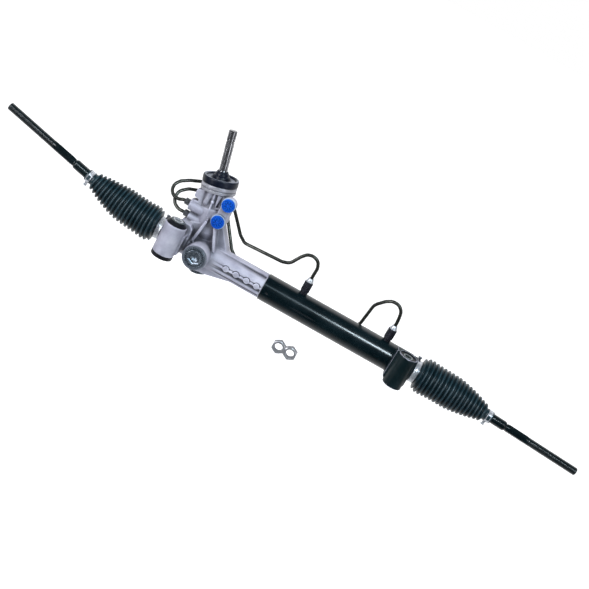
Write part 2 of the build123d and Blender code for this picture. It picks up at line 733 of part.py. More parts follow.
def pinion_pieces():
    """The pinion, its bearings, the rotary valve above it and the input shaft."""
    shaft = pinion_gear()
    shaft += cylinder(ON_PINION, toothed_length / 2 - 1, head_foot, pinion_shaft_d)
    shaft += cylinder(ON_PINION, nut_foot - 2, -toothed_length / 2 + 1, lower_journal_d)
    shaft += cylinder(ON_PINION, head_foot, head_top, pinion_head_d)
    shaft -= cylinder(ON_PINION, head_top - torsion_end_length, head_top + 1, torsion_end_d)
    nut = hexagon(ON_PINION, nut_foot, lower_bearing_foot, pinion_nut_flats)
    nut -= cylinder(ON_PINION, nut_foot - 1, lower_bearing_foot + 1, lower_journal_d)

    inner_race = ring(ON_PINION, lower_bearing_foot, lower_bearing_top, lower_race_d, lower_journal_d)
    outer_race = ring(
        ON_PINION, lower_bearing_foot, lower_bearing_top, lower_bearing_d, lower_race_d + 2 * running,
    )
    cap_low = -tower_foot - cap_t
    cap = hexagon(ON_PINION, cap_low, -tower_foot, cap_flats)
    cap += cylinder(ON_PINION, -tower_foot - 1, -tower_foot + cap_thread_length, lower_bearing_d)
    nut_corners = pinion_nut_flats / math.cos(math.radians(30))
    cap -= cylinder(ON_PINION, nut_foot - 3, 0, nut_corners + 2 * clear)

    sleeve_bore = rotor_d + 2 * running
    sleeve_outer = valve_bore_d - 2 * running
    valve_sleeve = ring(ON_PINION, valve_sleeve_foot, valve_sleeve_top, sleeve_outer, sleeve_bore)
    rings = []
    ring_count = 4
    step = (valve_sleeve_length - valve_ring_width) / ring_count
    for index in range(ring_count):
        low = valve_sleeve_foot + step * (index + 0.5)
        band = ring(
            ON_PINION, low, low + valve_ring_width, sleeve_outer, sleeve_outer - 2 * valve_ring_depth,
        )
        rings.append(band)
        valve_sleeve -= band
    bar_foot = head_top - torsion_end_length
    twist_bar = cylinder(ON_PINION, bar_foot, head_top, torsion_end_d)
    twist_bar += cylinder(ON_PINION, head_top - 1, torsion_top, torsion_bar_d)
    twist_bar += cylinder(
        ON_PINION, torsion_top - torsion_end_length, torsion_top, torsion_end_d - 2 * running,
    )
    shaft_top = input_shaft_length
    shaft_r = input_shaft_d / 2
    groove_top = shaft_top - serration_length
    rotor_foot = head_top + sleeve_gap
    input_shaft = turned(ON_PINION, [
        (0, rotor_foot), (rotor_d / 2, rotor_foot), (rotor_d / 2, valve_sleeve_top),
        (shaft_r + 0.6, valve_sleeve_top + 2), (shaft_r + 0.6, cone_top - 2), (shaft_r, cone_top),
        (shaft_r, groove_top - groove_width), (shaft_r - groove_depth, groove_top - groove_width),
        (shaft_r - groove_depth, groove_top), (shaft_r, groove_top), (shaft_r, shaft_top - 1),
        (shaft_r - 1, shaft_top), (0, shaft_top),
    ])
    input_shaft -= cylinder(ON_PINION, rotor_foot - 1, torsion_top + sleeve_gap, torsion_end_d)
    depth_r = shaft_r - serration_depth
    half = math.radians(serration_width / 2)
    notch = make_face(Polyline(
        (depth_r, 0, groove_top), (shaft_r + 1, -(shaft_r + 1) * math.tan(half), groove_top),
        (shaft_r + 1, (shaft_r + 1) * math.tan(half), groove_top), close=True,
    ))
    cutter = extrude(notch, serration_length + 1, dir=(0, 0, 1))
    for index in range(serrations):
        input_shaft -= ON_PINION * Rot(0, 0, 360 / serrations * index) * cutter
    neck = 2 * shaft_r + 1.2
    bearing_foot = tower_top - 6
    groove_foot = tower_top + cover_lower_t
    seal_foot = cover_top - cover_rim_t - input_seal_t
    return {
        "pinion": shaft,
        "pinion_nut": nut,
        "pinion_inner_race": inner_race,
        "pinion_lower_bearing": outer_race,
        "pinion_bottom_cap": cap,
        "pinion_upper_bearing": ring(
            ON_PINION, upper_bearing_foot, upper_bearing_top, upper_bearing_d, pinion_shaft_d + 2 * running,
        ),
        "pinion_seal": ring(
            ON_PINION, upper_bearing_top, upper_bearing_top + valve_seal_width, valve_seal_d,
            pinion_shaft_d + 2 * running,
        ),
        "valve_sleeve": valve_sleeve,
        "valve_sleeve_rings": Compound(rings),
        "torsion_bar": twist_bar,
        "input_shaft": input_shaft,
        "input_bearing": ring(
            ON_PINION, bearing_foot, tower_top, input_bearing_d, neck + 2 * running,
        ),
        "tower_cover": turned(ON_PINION, [
            (input_bearing_d / 2, bearing_foot), (valve_bore_d / 2, bearing_foot),
            (valve_bore_d / 2, tower_top), (cover_d / 2, tower_top), (cover_d / 2, groove_foot),
            (cover_d / 2 - cover_groove, groove_foot), (cover_d / 2 - cover_groove, groove_foot + cover_groove),
            (cover_d / 2, groove_foot + cover_groove), (cover_d / 2, cover_top - cover_rim_t),
            (cover_rim_d / 2, cover_top - cover_rim_t), (cover_rim_d / 2, cover_top),
            (input_seal_d / 2, cover_top), (input_seal_d / 2, seal_foot), (input_bearing_d / 2, seal_foot),
        ]),
        "input_shaft_seal": ring(
            ON_PINION, seal_foot, seal_foot + input_seal_t, input_seal_d, neck + 2 * running,
        ),
        "dust_cap": turned(ON_PINION, [
            (cover_rim_d / 2, cap_bottom - cover_rim_t), (dust_cap_d / 2 - 1, cap_bottom - cover_rim_t),
            (dust_cap_d / 2, cap_bottom), (dust_cap_d / 2, cap_top - 2), (dust_cap_d / 2 - 2, cap_top),
            (dust_cap_cone_d / 2, cap_top), (dust_cap_cone_d / 2 - 1, cap_top + 4),
            (neck / 2 + 2.5, cap_top + 5), (neck / 2 + 1.5, cone_top - 2), (neck / 2 + touch_gap, cone_top - 2),
            (neck / 2 + touch_gap, cap_top - dust_cap_roof), (dust_cap_d / 2 - 3, cap_top - dust_cap_roof),
            (dust_cap_d / 2 - 3, cap_bottom), (cover_rim_d / 2, cap_bottom),
        ]),
    }


def hose_port_plugs():
    """The plastic transit plugs in the two hose ports."""
    pieces = {}
    for name, (offset, height) in port_places.items():
        mouth = facing_front(pinion_x + offset, height)
        plug = cylinder(mouth, port_front, port_front + plug_head_t, plug_head_d)
        plug += cylinder(mouth, port_front - port_depth + 3, port_front + 1, port_thread_d)
        plug -= cylinder(mouth, port_front - port_depth, port_front - 1, port_thread_d - 2 * plug_wall)
        plug = chamfer(plug.edges().filter_by(GeomType.CIRCLE).group_by(Axis.Y)[0], 0.8)
        pieces["port_plug_" + name] = plug
    return pieces


# --------------------------------------------------------------------------------------- pipes

def bend_radii(points):
    """The radius of each bend: a share of the shorter run over the tangent of half the turn, or less."""
    radii = []
    for before, here, after in zip(points, points[1:], points[2:]):
        run_in = Vector(*here) - Vector(*before)
        run_out = Vector(*after) - Vector(*here)
        turn = math.radians(run_in.get_angle(run_out))
        shorter = min(run_in.length, run_out.length)
        radii.append(min(pipe_bend_r, pipe_bend_share * shorter / math.tan(turn / 2)))
    return radii


def pipe(points):
    """A bent steel pipe through the given points."""
    path = FilletPolyline(*points, radius=bend_radii(points))
    start = Plane(origin=path @ 0, z_dir=path % 0)
    outer = sweep(start * Circle(pipe_d / 2), path=path)
    return outer - sweep(start * Circle(pipe_d / 2 - pipe_wall), path=path)


def pipe_pieces():
    """The two transfer pipes from the valve to the cylinder, and their nuts and collars."""
    routes = {
        "near_pipe": ("upper", near_route_tower, near_route_port, port_near_x),
        "far_pipe": ("lower", far_route_tower, far_route_port, port_far_x),
    }
    pieces = {}
    for name, (port, by_tower, by_port, cylinder_x) in routes.items():
        height = side_ports[port][0]
        end_x = pinion_x - side_ports[port][2]
        points = [
            (end_x + side_nut_seat + 2, side_port_y, height),
            (end_x - side_nut_length - pipe_straight, side_port_y, height),
        ]
        points += [(pinion_x + x, y, z) for x, y, z in by_tower]
        points += [(cylinder_x + x, y, z) for x, y, z in by_port]
        points += [(cylinder_x, 0, collar_top + pipe_straight), (cylinder_x, 0, cylinder_boss_top + port_seat)]
        pieces[name] = pipe(points)
    nuts = []
    for height, boss_d, reach in side_ports.values():
        place = facing_left(side_port_y, height)
        end = reach - pinion_x
        nut = hexagon(place, end, end + side_nut_length, side_nut_flats)
        nut += cylinder(place, end - side_nut_seat, end + 1, side_nut_flats - 1)
        nut -= cylinder(place, end - side_nut_seat - 1, end + side_nut_length + 1, pipe_d)
        nuts.append(nut)
    pieces["tower_pipe_nuts"] = Compound(nuts)
    bosses, tops, collars = [], [], []
    for x in (port_near_x, port_far_x):
        place = upright(x, 0)
        saddle = tube_d / 2 - 4
        boss = cylinder(place, saddle, cylinder_boss_top, cylinder_boss_d)
        boss -= cylinder(ALONG_RACK, x - tube_d, x + tube_d, tube_d)
        boss -= cylinder(place, saddle - 1, cylinder_boss_top + 1, cylinder_drill_d)
        bosses.append(boss)
        top = hexagon(place, cylinder_boss_top, cylinder_nut_top, cylinder_nut_flats)
        top -= cylinder(place, cylinder_boss_top - 1, cylinder_boss_top + port_seat, cylinder_drill_d)
        top -= cylinder(place, cylinder_boss_top + port_seat, cylinder_nut_top + 1, pipe_d)
        tops.append(top)
        collars.append(turned(place, [
            (pipe_d / 2, cylinder_nut_top), (collar_d / 2, cylinder_nut_top),
            (collar_tip_d / 2, collar_top), (pipe_d / 2, collar_top),
        ]))
    pieces["cylinder_port_bosses"] = Compound(bosses)
    pieces["cylinder_port_nuts"] = Compound(tops)
    pieces["pipe_collars"] = Compound(collars)
    return pieces


# --------------------------------------------------------------------------------------- rack

def rack_pieces():
    """The rack bar with its teeth, the piston on it and the two ball joint sockets."""
    rack = cylinder(ALONG_RACK, rack_middle - rack_end, rack_middle + rack_end, rack_d)
    rack -= rack_teeth_cut()
    for side, way in SIDES.items():
        end = ball_centre(side).X - way * socket_depth
        low, high = sorted((end - way * (socket_stud_length + 3), end + way))
        rack -= cylinder(ALONG_RACK, low, high, socket_stud_d)
    ring_low = piston_x - piston_ring_width / 2
    ring_high = piston_x + piston_ring_width / 2
    piston_d = tube_bore_d - 0.6
    seat_d = piston_d - 5.0
    piston = ring(ALONG_RACK, piston_x - piston_width / 2, piston_x + piston_width / 2, piston_d, rack_d)
    piston_ring = ring(ALONG_RACK, ring_low, ring_high, tube_bore_d - 2 * running, seat_d)
    piston -= ring(ALONG_RACK, ring_low, ring_high, tube_d, seat_d)
    pieces = {"rack_bar": rack, "piston": piston, "piston_ring": piston_ring}
    for side in SIDES:
        place = on_socket(side)
        cavity = ball_d + 4 * running + 2 * seat_wall
        socket = cylinder(place, -socket_depth, socket_nose, socket_d)
        socket += cylinder(place, -socket_depth - socket_stud_length, -socket_depth + 1, socket_stud_d)
        socket -= place * Sphere(cavity / 2)
        reach = socket_nose + 2
        spread = reach * math.tan(math.radians(socket_opening))
        socket -= turned(place, [(0, 0), (spread, reach), (0, reach)])
        pieces[side + "_socket"] = socket
        seat_d_outer = ball_d + 2 * running + 2 * seat_wall
        seat = place * Sphere(seat_d_outer / 2) - place * Sphere(ball_d / 2 + running)
        mouth = math.radians(seat_opening)
        seat -= turned(on_rod(side), [(0, 0), (ball_d * math.tan(mouth), ball_d), (0, ball_d)])
        pieces[side + "_ball_seat"] = seat
    return pieces


def tie_rod_pieces():
    """The tie rods, each with its ball, and the small clamp that holds the boot on it."""
    pieces = {}
    for side in SIDES:
        place = on_rod(side)
        body = turned(place, [
            (0, 0), (rod_neck_d / 2, 0), (rod_neck_d / 2, rod_neck_end), (rod_body_r, rod_body_start),
            (rod_body_r, rod_body_end), (rod_flats / 2 - rod_relief, rod_body_end + rod_shoulder),
            (rod_flats / 2 - rod_relief, rod_flats_end), (rod_thread_d / 2, rod_flats_end + rod_relief),
            (rod_thread_d / 2, rod_length - rod_chamfer), (rod_thread_d / 2 - rod_chamfer, rod_length),
            (0, rod_length),
        ])
        body += place * Sphere(ball_d / 2)
        body += hexagon(place, rod_body_end + rod_shoulder / 2, rod_flats_end, rod_flats)
        pieces[side + "_tie_rod"] = body
        reach = boot_clamp_reach
        inner_d = rod_body_d + 2 * touch_gap + 2 * small_cuff_wall + 2 * touch_gap
        outer_d = inner_d + 2 * clamp_band
        low = reach - small_clamp_width / 2
        high = reach + small_clamp_width / 2
        clamp = ring(place, low, high, outer_d, inner_d)
        down = -SIDES[side]
        ear = place * Pos(0, down * (outer_d / 2 + clamp_ear_height / 2 - 0.5), reach)
        clamp += ear * Box(clamp_ear_t, clamp_ear_height, small_clamp_width - 2)
        pieces[side + "_small_clamp"] = clamp
    return pieces


# --------------------------------------------------------------------------------------- boots

def boot_place(side, share):
    """A place on the centre line of a boot, with its z axis outwards, share 0 at the housing end."""
    way = SIDES[side]
    start = Vector(way * (housing_end - boot_overhang), 0, 0)
    outward = Vector(way, 0, 0)
    along = rod_direction(side)
    end = ball_centre(side) + along * (boot_clamp_reach - small_cuff_length / 2)
    pull = (end - start).length / 3
    first = start + outward * pull
    second = end - along * pull
    u = share
    v = 1 - u
    point = start * v**3 + first * (3 * v * v * u) + second * (3 * v * u * u) + end * u**3
    slope = (first - start) * (3 * v * v) + (second - first) * (6 * v * u) + (end - second) * (3 * u * u)
    return Plane(origin=point, x_dir=(0, 1, 0), z_dir=slope)


def crest_d(share):
    """The diameter over the folds, by straight lines between the points of the profile."""
    for (low, low_d), (high, high_d) in zip(boot_profile, boot_profile[1:]):
        if share <= high:
            return low_d + (high_d - low_d) * (share - low) / (high - low)
    return boot_profile[-1][1]


def boot(side):
    """A rubber boot of deep folds between a large cuff on the housing and a small one on the rod."""
    cuff_start = boot_place(side, 0).offset(-cuff_length)
    cuff_stop = boot_place(side, 0)
    end = boot_place(side, 1)
    small_inner = rod_body_r + touch_gap
    small_outer = small_inner + small_cuff_wall
    outer = [cuff_start * Circle(neck_d / 2 + cuff_wall), cuff_stop * Circle(neck_d / 2 + cuff_wall)]
    inner = [cuff_start * Circle(neck_d / 2), cuff_stop.offset(boot_overhang / 2) * Circle(neck_d / 2)]
    for index in range(2 * boot_folds + 1):
        share = (index + 0.5) / (2 * boot_folds + 2)
        radius = crest_d(share) / 2
        if index % 2 == 1:
            radius -= boot_fold_depth
        place = boot_place(side, share)
        outer.append(place * Circle(radius))
        inner.append(place * Circle(radius - boot_wall))
    outer += [end * Circle(small_outer), end.offset(small_cuff_length) * Circle(small_outer)]
    inner += [end.offset(-1) * Circle(small_inner), end.offset(small_cuff_length) * Circle(small_inner)]
    return loft(outer, ruled=True) - loft(inner, ruled=True)


def boot_pieces():
    """The two boots and their large clamps."""
    pieces = {}
    for side, way in SIDES.items():
        pieces[side + "_boot"] = boot(side)
        middle = way * (housing_end - boot_overhang - cuff_length / 2)
        inner_d = neck_d + 2 * cuff_wall
        outer_d = inner_d + 2 * clamp_band
        low = middle - large_clamp_width / 2
        high = middle + large_clamp_width / 2
        clamp = ring(ALONG_RACK, low, high, outer_d, inner_d)
        ear = Pos(middle - way * clamp_ear_shift, 0, outer_d / 2 + clamp_ear_height / 2 - 0.5)
        clamp += ear * Box(large_clamp_width - 2, clamp_ear_t, clamp_ear_height)
        pieces[side + "_large_clamp"] = clamp
    return pieces


def tie_rod_nuts():
    """The pair of loose nuts for the tie rod threads, side by side in front of the rack."""
    corner = nut_flats / 2 / math.cos(math.radians(30))
    nuts = []
    for way in (-1, 1):
        place = facing_front(nut_x + way * (nut_flats + touch_gap) / 2, corner - nut_floor)
        nut = hexagon(place, nut_front, nut_front + nut_t, nut_flats, 30)
        nut -= cylinder(place, nut_front - 1, nut_front + nut_t + 1, rod_thread_d)
        nuts.append(nut)
    return Compound(nuts)


# --------------------------------------------------------------------------------------- assembly

pieces = {"rack_housing": rack_housing(), "cylinder_tube": cylinder_tube(), "right_bracket": right_bracket()}
pieces.update(mount_pieces())
pieces.update(cylinder_internals())
pieces.update(yoke_pieces())
pieces.update(pinion_pieces())
pieces.update(hose_port_plugs())
pieces.update(pipe_pieces())
pieces.update(rack_pieces())
pieces.update(tie_rod_pieces())
pieces.update(boot_pieces())
pieces["tie_rod_nuts"] = tie_rod_nuts()

os.makedirs("parts", exist_ok=True)
for name, piece in pieces.items():
    export_step(Pos(0, mount_offset, seat_drop) * piece, "parts/" + name + ".step")
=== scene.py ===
import json
import math

import bmesh
import bpy
import numpy as np
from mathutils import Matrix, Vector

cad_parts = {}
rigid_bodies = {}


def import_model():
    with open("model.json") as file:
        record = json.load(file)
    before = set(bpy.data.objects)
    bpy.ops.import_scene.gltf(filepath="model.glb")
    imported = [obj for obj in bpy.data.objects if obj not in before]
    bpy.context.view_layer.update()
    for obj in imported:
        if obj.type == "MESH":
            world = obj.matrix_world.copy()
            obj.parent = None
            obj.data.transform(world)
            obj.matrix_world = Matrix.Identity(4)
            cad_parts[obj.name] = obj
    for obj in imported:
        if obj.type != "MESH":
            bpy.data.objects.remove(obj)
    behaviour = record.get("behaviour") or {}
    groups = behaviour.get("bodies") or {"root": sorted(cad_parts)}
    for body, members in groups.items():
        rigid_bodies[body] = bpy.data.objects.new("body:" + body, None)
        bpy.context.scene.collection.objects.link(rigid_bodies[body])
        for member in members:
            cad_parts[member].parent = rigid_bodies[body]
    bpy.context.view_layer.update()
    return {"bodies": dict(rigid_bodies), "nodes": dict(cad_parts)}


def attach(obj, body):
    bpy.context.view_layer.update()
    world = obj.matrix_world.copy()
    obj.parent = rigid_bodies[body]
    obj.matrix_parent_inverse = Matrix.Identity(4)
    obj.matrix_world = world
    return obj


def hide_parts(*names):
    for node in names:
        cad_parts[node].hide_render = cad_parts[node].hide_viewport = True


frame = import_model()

# ---------------------------------------------------------------- rack housing
# The gear's main casting: left neck and mounting boss, pinion tower with its
# ports, yoke boss and the short tube that takes the steel cylinder. Aluminium,
# die-cast, shot-blasted and machined only at its bores and joint faces.

RACK_AXIS = np.array([0.0, 42.0, 29.0])
PINION_X = -170.0
PINION_Y = 14.365
SHAFT_TILT = math.radians(12.3)
SHAFT_LINE = np.array([-math.sin(SHAFT_TILT), 0.0, math.cos(SHAFT_TILT)])
CAST_VOXEL = 0.001
CAST_TRIANGLES = 188000
CAST_TONES = [(0.32, (0.27, 0.27, 0.335)), (0.5, (0.36, 0.36, 0.435)), (0.66, (0.45, 0.45, 0.52))]
PEG_LEVEL = (0.31, 1.0, 0.17)

TOWER_R = 25.5
RECESS_R = 22.9
RECESS_SIDES = (-17.8, 11.5)
RECESS_HEIGHTS = (79.0, 106.0)
RECESS_SKIN = (21.5, 28.6)
NOTCH_HEIGHTS = (75.5, 80.0)
NOTCH_X = -213.0

CASTING_TUBE_R = 22.75
TUBE_RELIEF = (-146.0, -48.6)
TUBE_RELIEF_RISE = 26.0
TUBE_ANGLES = [0, 21.5, 24.5, 31, 46, 77.5, 79.5, 87, 93, 96, 109, 112, 123, 126, 139, 143, 180]
TUBE_HEIGHTS = [0.6, 0.6, -2.7, -2.3, 0, 0, -1.8, 0, -0.3, -3.2, -3.2, 0.3, 0.3, -2.6, -2.6, 0, 0]
GROOVE_ANGLES = (22, 46)
GROOVE_DEEPENS = -92.0
SHALLOW_GROOVE = 0.55
SCALLOP_X = np.array([-116.4, -97.0, -76.6, -57.1])
SCALLOP_R = 5.7
SCALLOP_ANGLE = 88.4
SCALLOP_RIM = (0.7, 0.5, 1.8)
YOKE_FACE_Y = -46.0
YOKE_LEDGE_R = (18.9, 19.9)
YOKE_LEDGE_DEPTH = 1.3

# Depths over which the casting's painted shade deepens, and its least share in the left of the tower's
# recess.
TUBE_SHADE = 2.4
TOWER_SHADE = 4
LEFT_SHADE = 0.42


def finish(name):
    """A new material with its tree, its Principled shader and its Object coordinates."""
    material = bpy.data.materials.new(name)
    material.use_nodes = True
    tree = material.node_tree
    where = tree.nodes.new("ShaderNodeTexCoord").outputs["Object"]
    return material, tree, tree.nodes["Principled BSDF"], where


def speckle(tree, where, scale, detail=4.0, roughness=0.6, stretch=(1.0, 1.0, 1.0)):
    """Fractal noise over the piece, its grain scale per metre, stretched along the axes."""
    mapping = tree.nodes.new("ShaderNodeMapping")
    mapping.inputs["Scale"].default_value = stretch
    noise = tree.nodes.new("ShaderNodeTexNoise")
    noise.inputs["Scale"].default_value = scale
    noise.inputs["Detail"].default_value = detail
    noise.inputs["Roughness"].default_value = roughness
    tree.links.new(where, mapping.inputs["Vector"])
    tree.links.new(mapping.outputs["Vector"], noise.inputs["Vector"])
    return noise.outputs["Fac"]


def shades(tree, factor, stops):
    """A colour that runs through the given stops as the factor goes from 0 to 1."""
    ramp = tree.nodes.new("ShaderNodeValToRGB")
    while len(ramp.color_ramp.elements) < len(stops):
        ramp.color_ramp.elements.new(0.5)
    for element, (position, colour) in zip(ramp.color_ramp.elements, stops):
        element.position = position
        element.color = (*colour, 1.0)
    tree.links.new(factor, ramp.inputs["Fac"])
    return ramp.outputs["Color"]


def span(tree, factor, low, high, start=0.3, stop=0.7, smooth=False):
    """The factor's range from start to stop, stretched evenly or smoothly to run from low to high."""
    scaled = tree.nodes.new("ShaderNodeMapRange")
    scaled.interpolation_type = "SMOOTHSTEP" if smooth else "LINEAR"
    for socket, value in (("From Min", start), ("From Max", stop), ("To Min", low), ("To Max", high)):
        scaled.inputs[socket].default_value = value
    tree.links.new(factor, scaled.inputs["Value"])
    return scaled.outputs["Result"]


def dimmed(tree, colour, factor):
    """The colour times the factor."""
    scaled = tree.nodes.new("ShaderNodeVectorMath")
    scaled.operation = "SCALE"
    tree.links.new(colour, scaled.inputs[0])
    tree.links.new(factor, scaled.inputs["Scale"])
    return scaled.outputs["Vector"]


def painted_crease_shade(tree, colour, reach, darkest):
    """The colour, darkened as painted shade where other faces stand within the reach in metres."""
    closed = tree.nodes.new("ShaderNodeAmbientOcclusion")
    closed.samples = 8
    closed.inputs["Distance"].default_value = reach
    return dimmed(tree, colour, span(tree, closed.outputs["AO"], darkest, 1.0, start=0.35, stop=0.95))


def surfaced(tree, shader, colour, rough, grain, depth, strength, metallic=0.0, specular=0.5):
    """Joins a colour, a roughness and a grain of the given depth in metres to the shader."""
    bump = tree.nodes.new("ShaderNodeBump")
    bump.inputs["Distance"].default_value = depth
    bump.inputs["Strength"].default_value = strength
    shader.inputs["Metallic"].default_value = metallic
    shader.inputs["Specular IOR Level"].default_value = specular
    tree.links.new(colour, shader.inputs["Base Color"])
    tree.links.new(rough, shader.inputs["Roughness"])
    tree.links.new(grain, bump.inputs["Height"])
    tree.links.new(bump.outputs["Normal"], shader.inputs["Normal"])


def dress(piece, material):
    """Gives a piece one material on all of its faces."""
    piece.data.materials.clear()
    piece.data.materials.append(material)


def cells(points, loop=False):
    """The places and four-cornered faces of a grid whose columns, and rows in a loop, close up."""
    rows, columns = points.shape[:2]
    index = np.arange(rows * columns).reshape(rows, columns)
    ahead = np.roll(index, -1, axis=0)
    corners = [index, ahead, np.roll(ahead, -1, axis=1), np.roll(index, -1, axis=1)]
    last = None if loop else -1
    faces = np.stack([corner[:last] for corner in corners], axis=-1)
    return (points.reshape(-1, 3) + RACK_AXIS) / 1000, faces.reshape(-1, 4)


def grid_mesh(name, grids, loop=False):
    """One mesh of closed grids: doubles merged, which closes the poles, and faces turned outwards."""
    places, quads, count = [], [], 0
    for points in grids:
        place, faces = cells(points, loop)
        places.append(place)
        quads.append(faces + count)
        count += len(place)
    mesh = bpy.data.meshes.new(name)
    mesh.from_pydata(np.concatenate(places).tolist(), [], np.concatenate(quads).tolist())
    work = bmesh.new()
    work.from_mesh(mesh)
    bmesh.ops.remove_doubles(work, verts=work.verts, dist=2e-6)
    bmesh.ops.recalc_face_normals(work, faces=work.faces)
    work.to_mesh(mesh)
    work.free()
    return mesh


def placed(name, mesh, material, node, body="housing", sharp=38.0):
    """A finished piece that rides on a body, stands for a CAD node and is smooth below an edge angle."""
    mesh.shade_smooth()
    mesh.set_sharp_from_angle(angle=math.radians(sharp))
    piece = bpy.data.objects.new(name, mesh)
    bpy.context.scene.collection.objects.link(piece)
    dress(piece, material)
    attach(piece, body)
    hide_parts(node)
    return piece


def axes(origin, along, level=(0.0, 1.0, 0.0)):
    """A place: its origin, two directions across it and the direction along it."""
    along = np.array(along, float) / np.linalg.norm(along)
    across = np.array(level, float) - along * np.dot(level, along)
    across /= np.linalg.norm(across)
    return np.array(origin, float), across, np.cross(along, across), along


def round_turn(columns):
    """The angles of the columns round a piece."""
    return np.linspace(0, 2 * np.pi, columns, endpoint=False)


def swept(place, radius, height, columns):
    """Points at a radius and a height for each row and column: radius across, height along the place."""
    origin, across, aside, along = place
    turn = round_turn(columns)
    spoke = np.cos(turn)[:, None] * across + np.sin(turn)[:, None] * aside
    radius = radius[:, :, None] if radius.ndim == 2 else radius[:, None, None]
    height = height[:, :, None] if height.ndim == 2 else height[:, None, None]
    return origin + radius * spoke[None] + height * along


def revolved(place, profile, columns=96):
    """A surface of revolution from a profile of radius and height."""
    return swept(place, profile[:, 0], profile[:, 1], columns)


def step(value, at, width):
    """A smooth step from 0 to 1 as the value passes a place."""
    return 1 / (1 + np.exp(-np.clip((value - at) / width, -40, 40)))


def between(value, low, high, width, high_width=None):
    """A smooth bump: 1 between two places and 0 beyond them."""
    return step(value, low, width) * step(-value, -high, high_width or width)


def about_pinion(points):
    """How far each place lies to the side of the pinion's axis, along it and from it."""
    x, y, z = points.T
    height = (x - PINION_X) * SHAFT_LINE[0] + z * SHAFT_LINE[2]
    side = x - (PINION_X + SHAFT_LINE[0] * height)
    return side, height, np.hypot(side, y - PINION_Y)


def recess_relief(points):
    """How far in the tower's front is cast, square to the pinion axis.

    Inside a window of the tower's front the outer skin comes in to one radius.
    The window is bounded across and along by smooth steps. Over the upper pipe
    port a notch takes the side block in to one x.
    """
    x, y, z = points.T
    side, height, radial = about_pinion(points)
    inside = between(side, *RECESS_SIDES, 0.35) * between(height, *RECESS_HEIGHTS, 0.4)
    inside *= between(radial, *RECESS_SKIN, 0.3, 0.2) * (y < PINION_Y - 5)
    outward = np.stack([side, y - PINION_Y, 0 * side], axis=1) / np.maximum(radial, 1e-6)[:, None]
    moved = outward * ((RECESS_R - radial) * inside)[:, None]
    moved[:, 0] += np.maximum(NOTCH_X - x, 0) * between(z, *NOTCH_HEIGHTS, 0.3) * (y < PINION_Y + 2)
    return moved


def tube_relief(points):
    """How far the casting stands out from its plain tube, by place, along the radius.

    With the angle taken from the top, there is a ridge along the top, a groove
    past it, a plain strip, a step with round bosses set along it, pockets below
    the step, a narrow ridge and a groove. The face of the yoke boss has a ring
    cut in it.
    """
    x, y, z = points.T
    angle = np.degrees(np.arctan2(np.abs(y), z))
    front = y < 0
    radial = np.hypot(y, z)
    reach = np.clip((x - TUBE_RELIEF[0]) / TUBE_RELIEF_RISE, 0, 1) * step(-x, -TUBE_RELIEF[1], 0.4)
    near = between(radial, CASTING_TUBE_R - 2.2, CASTING_TUBE_R + 1.6, 0.2, 0.3)
    out = np.interp(angle, TUBE_ANGLES, TUBE_HEIGHTS)
    groove = (angle > GROOVE_ANGLES[0]) & (angle < GROOVE_ANGLES[1])
    share = SHALLOW_GROOVE + (1 - SHALLOW_GROOVE) * step(x, GROOVE_DEEPENS, 6.0)
    out = np.where(groove, out * share, out)
    arc = np.radians(angle - SCALLOP_ANGLE) * CASTING_TUBE_R
    apart = np.hypot(x[:, None] - SCALLOP_X[None], arc[:, None]).min(axis=1)
    boss = step(-apart, -SCALLOP_R, 0.22) * front
    gap, width, depth = SCALLOP_RIM
    rim = np.exp(-(((apart - SCALLOP_R - gap) / width) ** 2)) * front * step(-angle, -88.0, 1.5)
    out = out * (1 - boss) - 0.1 * boss - depth * rim
    outward = points * np.array([0.0, 1.0, 1.0]) / np.maximum(radial, 1e-6)[:, None]
    moved = outward * (out * reach * near)[:, None]
    ledge = between(np.hypot(x - PINION_X, z), *YOKE_LEDGE_R, 0.15)
    moved[:, 1] += YOKE_LEDGE_DEPTH * ledge * (y < YOKE_FACE_Y + 1.2)
    return moved


def painted_hollow_shade(points):
    """How deep a place lies in the casting's hollows, 0 to 1, by which its colour is darkened as painted
    shade.

    On the tube it is the depth below the plain cylinder over 2.4 mm, and on the
    tower the depth below its skin over 4 mm. In the left part of the tower's
    recess it is 0.42 at least.
    """
    x, y, z = points.T
    radial = np.hypot(y, z)
    on_tube = (x > TUBE_RELIEF[0]) & (x < TUBE_RELIEF[1] + 1.1) & (radial > 18.5)
    tube = np.clip((CASTING_TUBE_R - 0.5 - radial) / TUBE_SHADE, 0, 1) * on_tube
    side, height, skin = about_pinion(points)
    on_tower = (skin > RECESS_SKIN[0] - 0.5) & (y < PINION_Y - 8)
    on_tower &= (height > RECESS_HEIGHTS[0] - 1) & (height < RECESS_HEIGHTS[1] + 1.2)
    on_tower &= (side > RECESS_SIDES[0] - 1) & (side < RECESS_SIDES[1] + 1)
    tower = np.clip((TOWER_R - 0.4 - skin) / TOWER_SHADE, 0, 1) * on_tower
    tower = np.maximum(tower, LEFT_SHADE * on_tower * step(-side, 4.2, 0.4))
    return np.maximum(tube, tower)


def points_of(mesh):
    """The mesh's places in millimetres from the rack's axis."""
    co = np.zeros(len(mesh.vertices) * 3, np.float32)
    mesh.vertices.foreach_get("co", co)
    return co.reshape(-1, 3).astype(float) * 1000 - RACK_AXIS


def moved_by(mesh, change):
    """Moves a mesh's points by a function of their places about the rack axis."""
    points = points_of(mesh)
    points = points + change(points)
    mesh.vertices.foreach_set("co", ((points + RACK_AXIS) / 1000).astype(np.float32).ravel())
    mesh.update()


def held(mesh):
    """The mesh in an object of its own, which takes modifiers."""
    holder = bpy.data.objects.new("held", mesh)
    bpy.context.scene.collection.objects.link(holder)
    return holder


def applied(holder):
    """The mesh that the holder's modifiers leave; the holder is put away."""
    final = holder.evaluated_get(bpy.context.evaluated_depsgraph_get())
    mesh = bpy.data.meshes.new_from_object(final)
    bpy.data.objects.remove(holder)
    return mesh


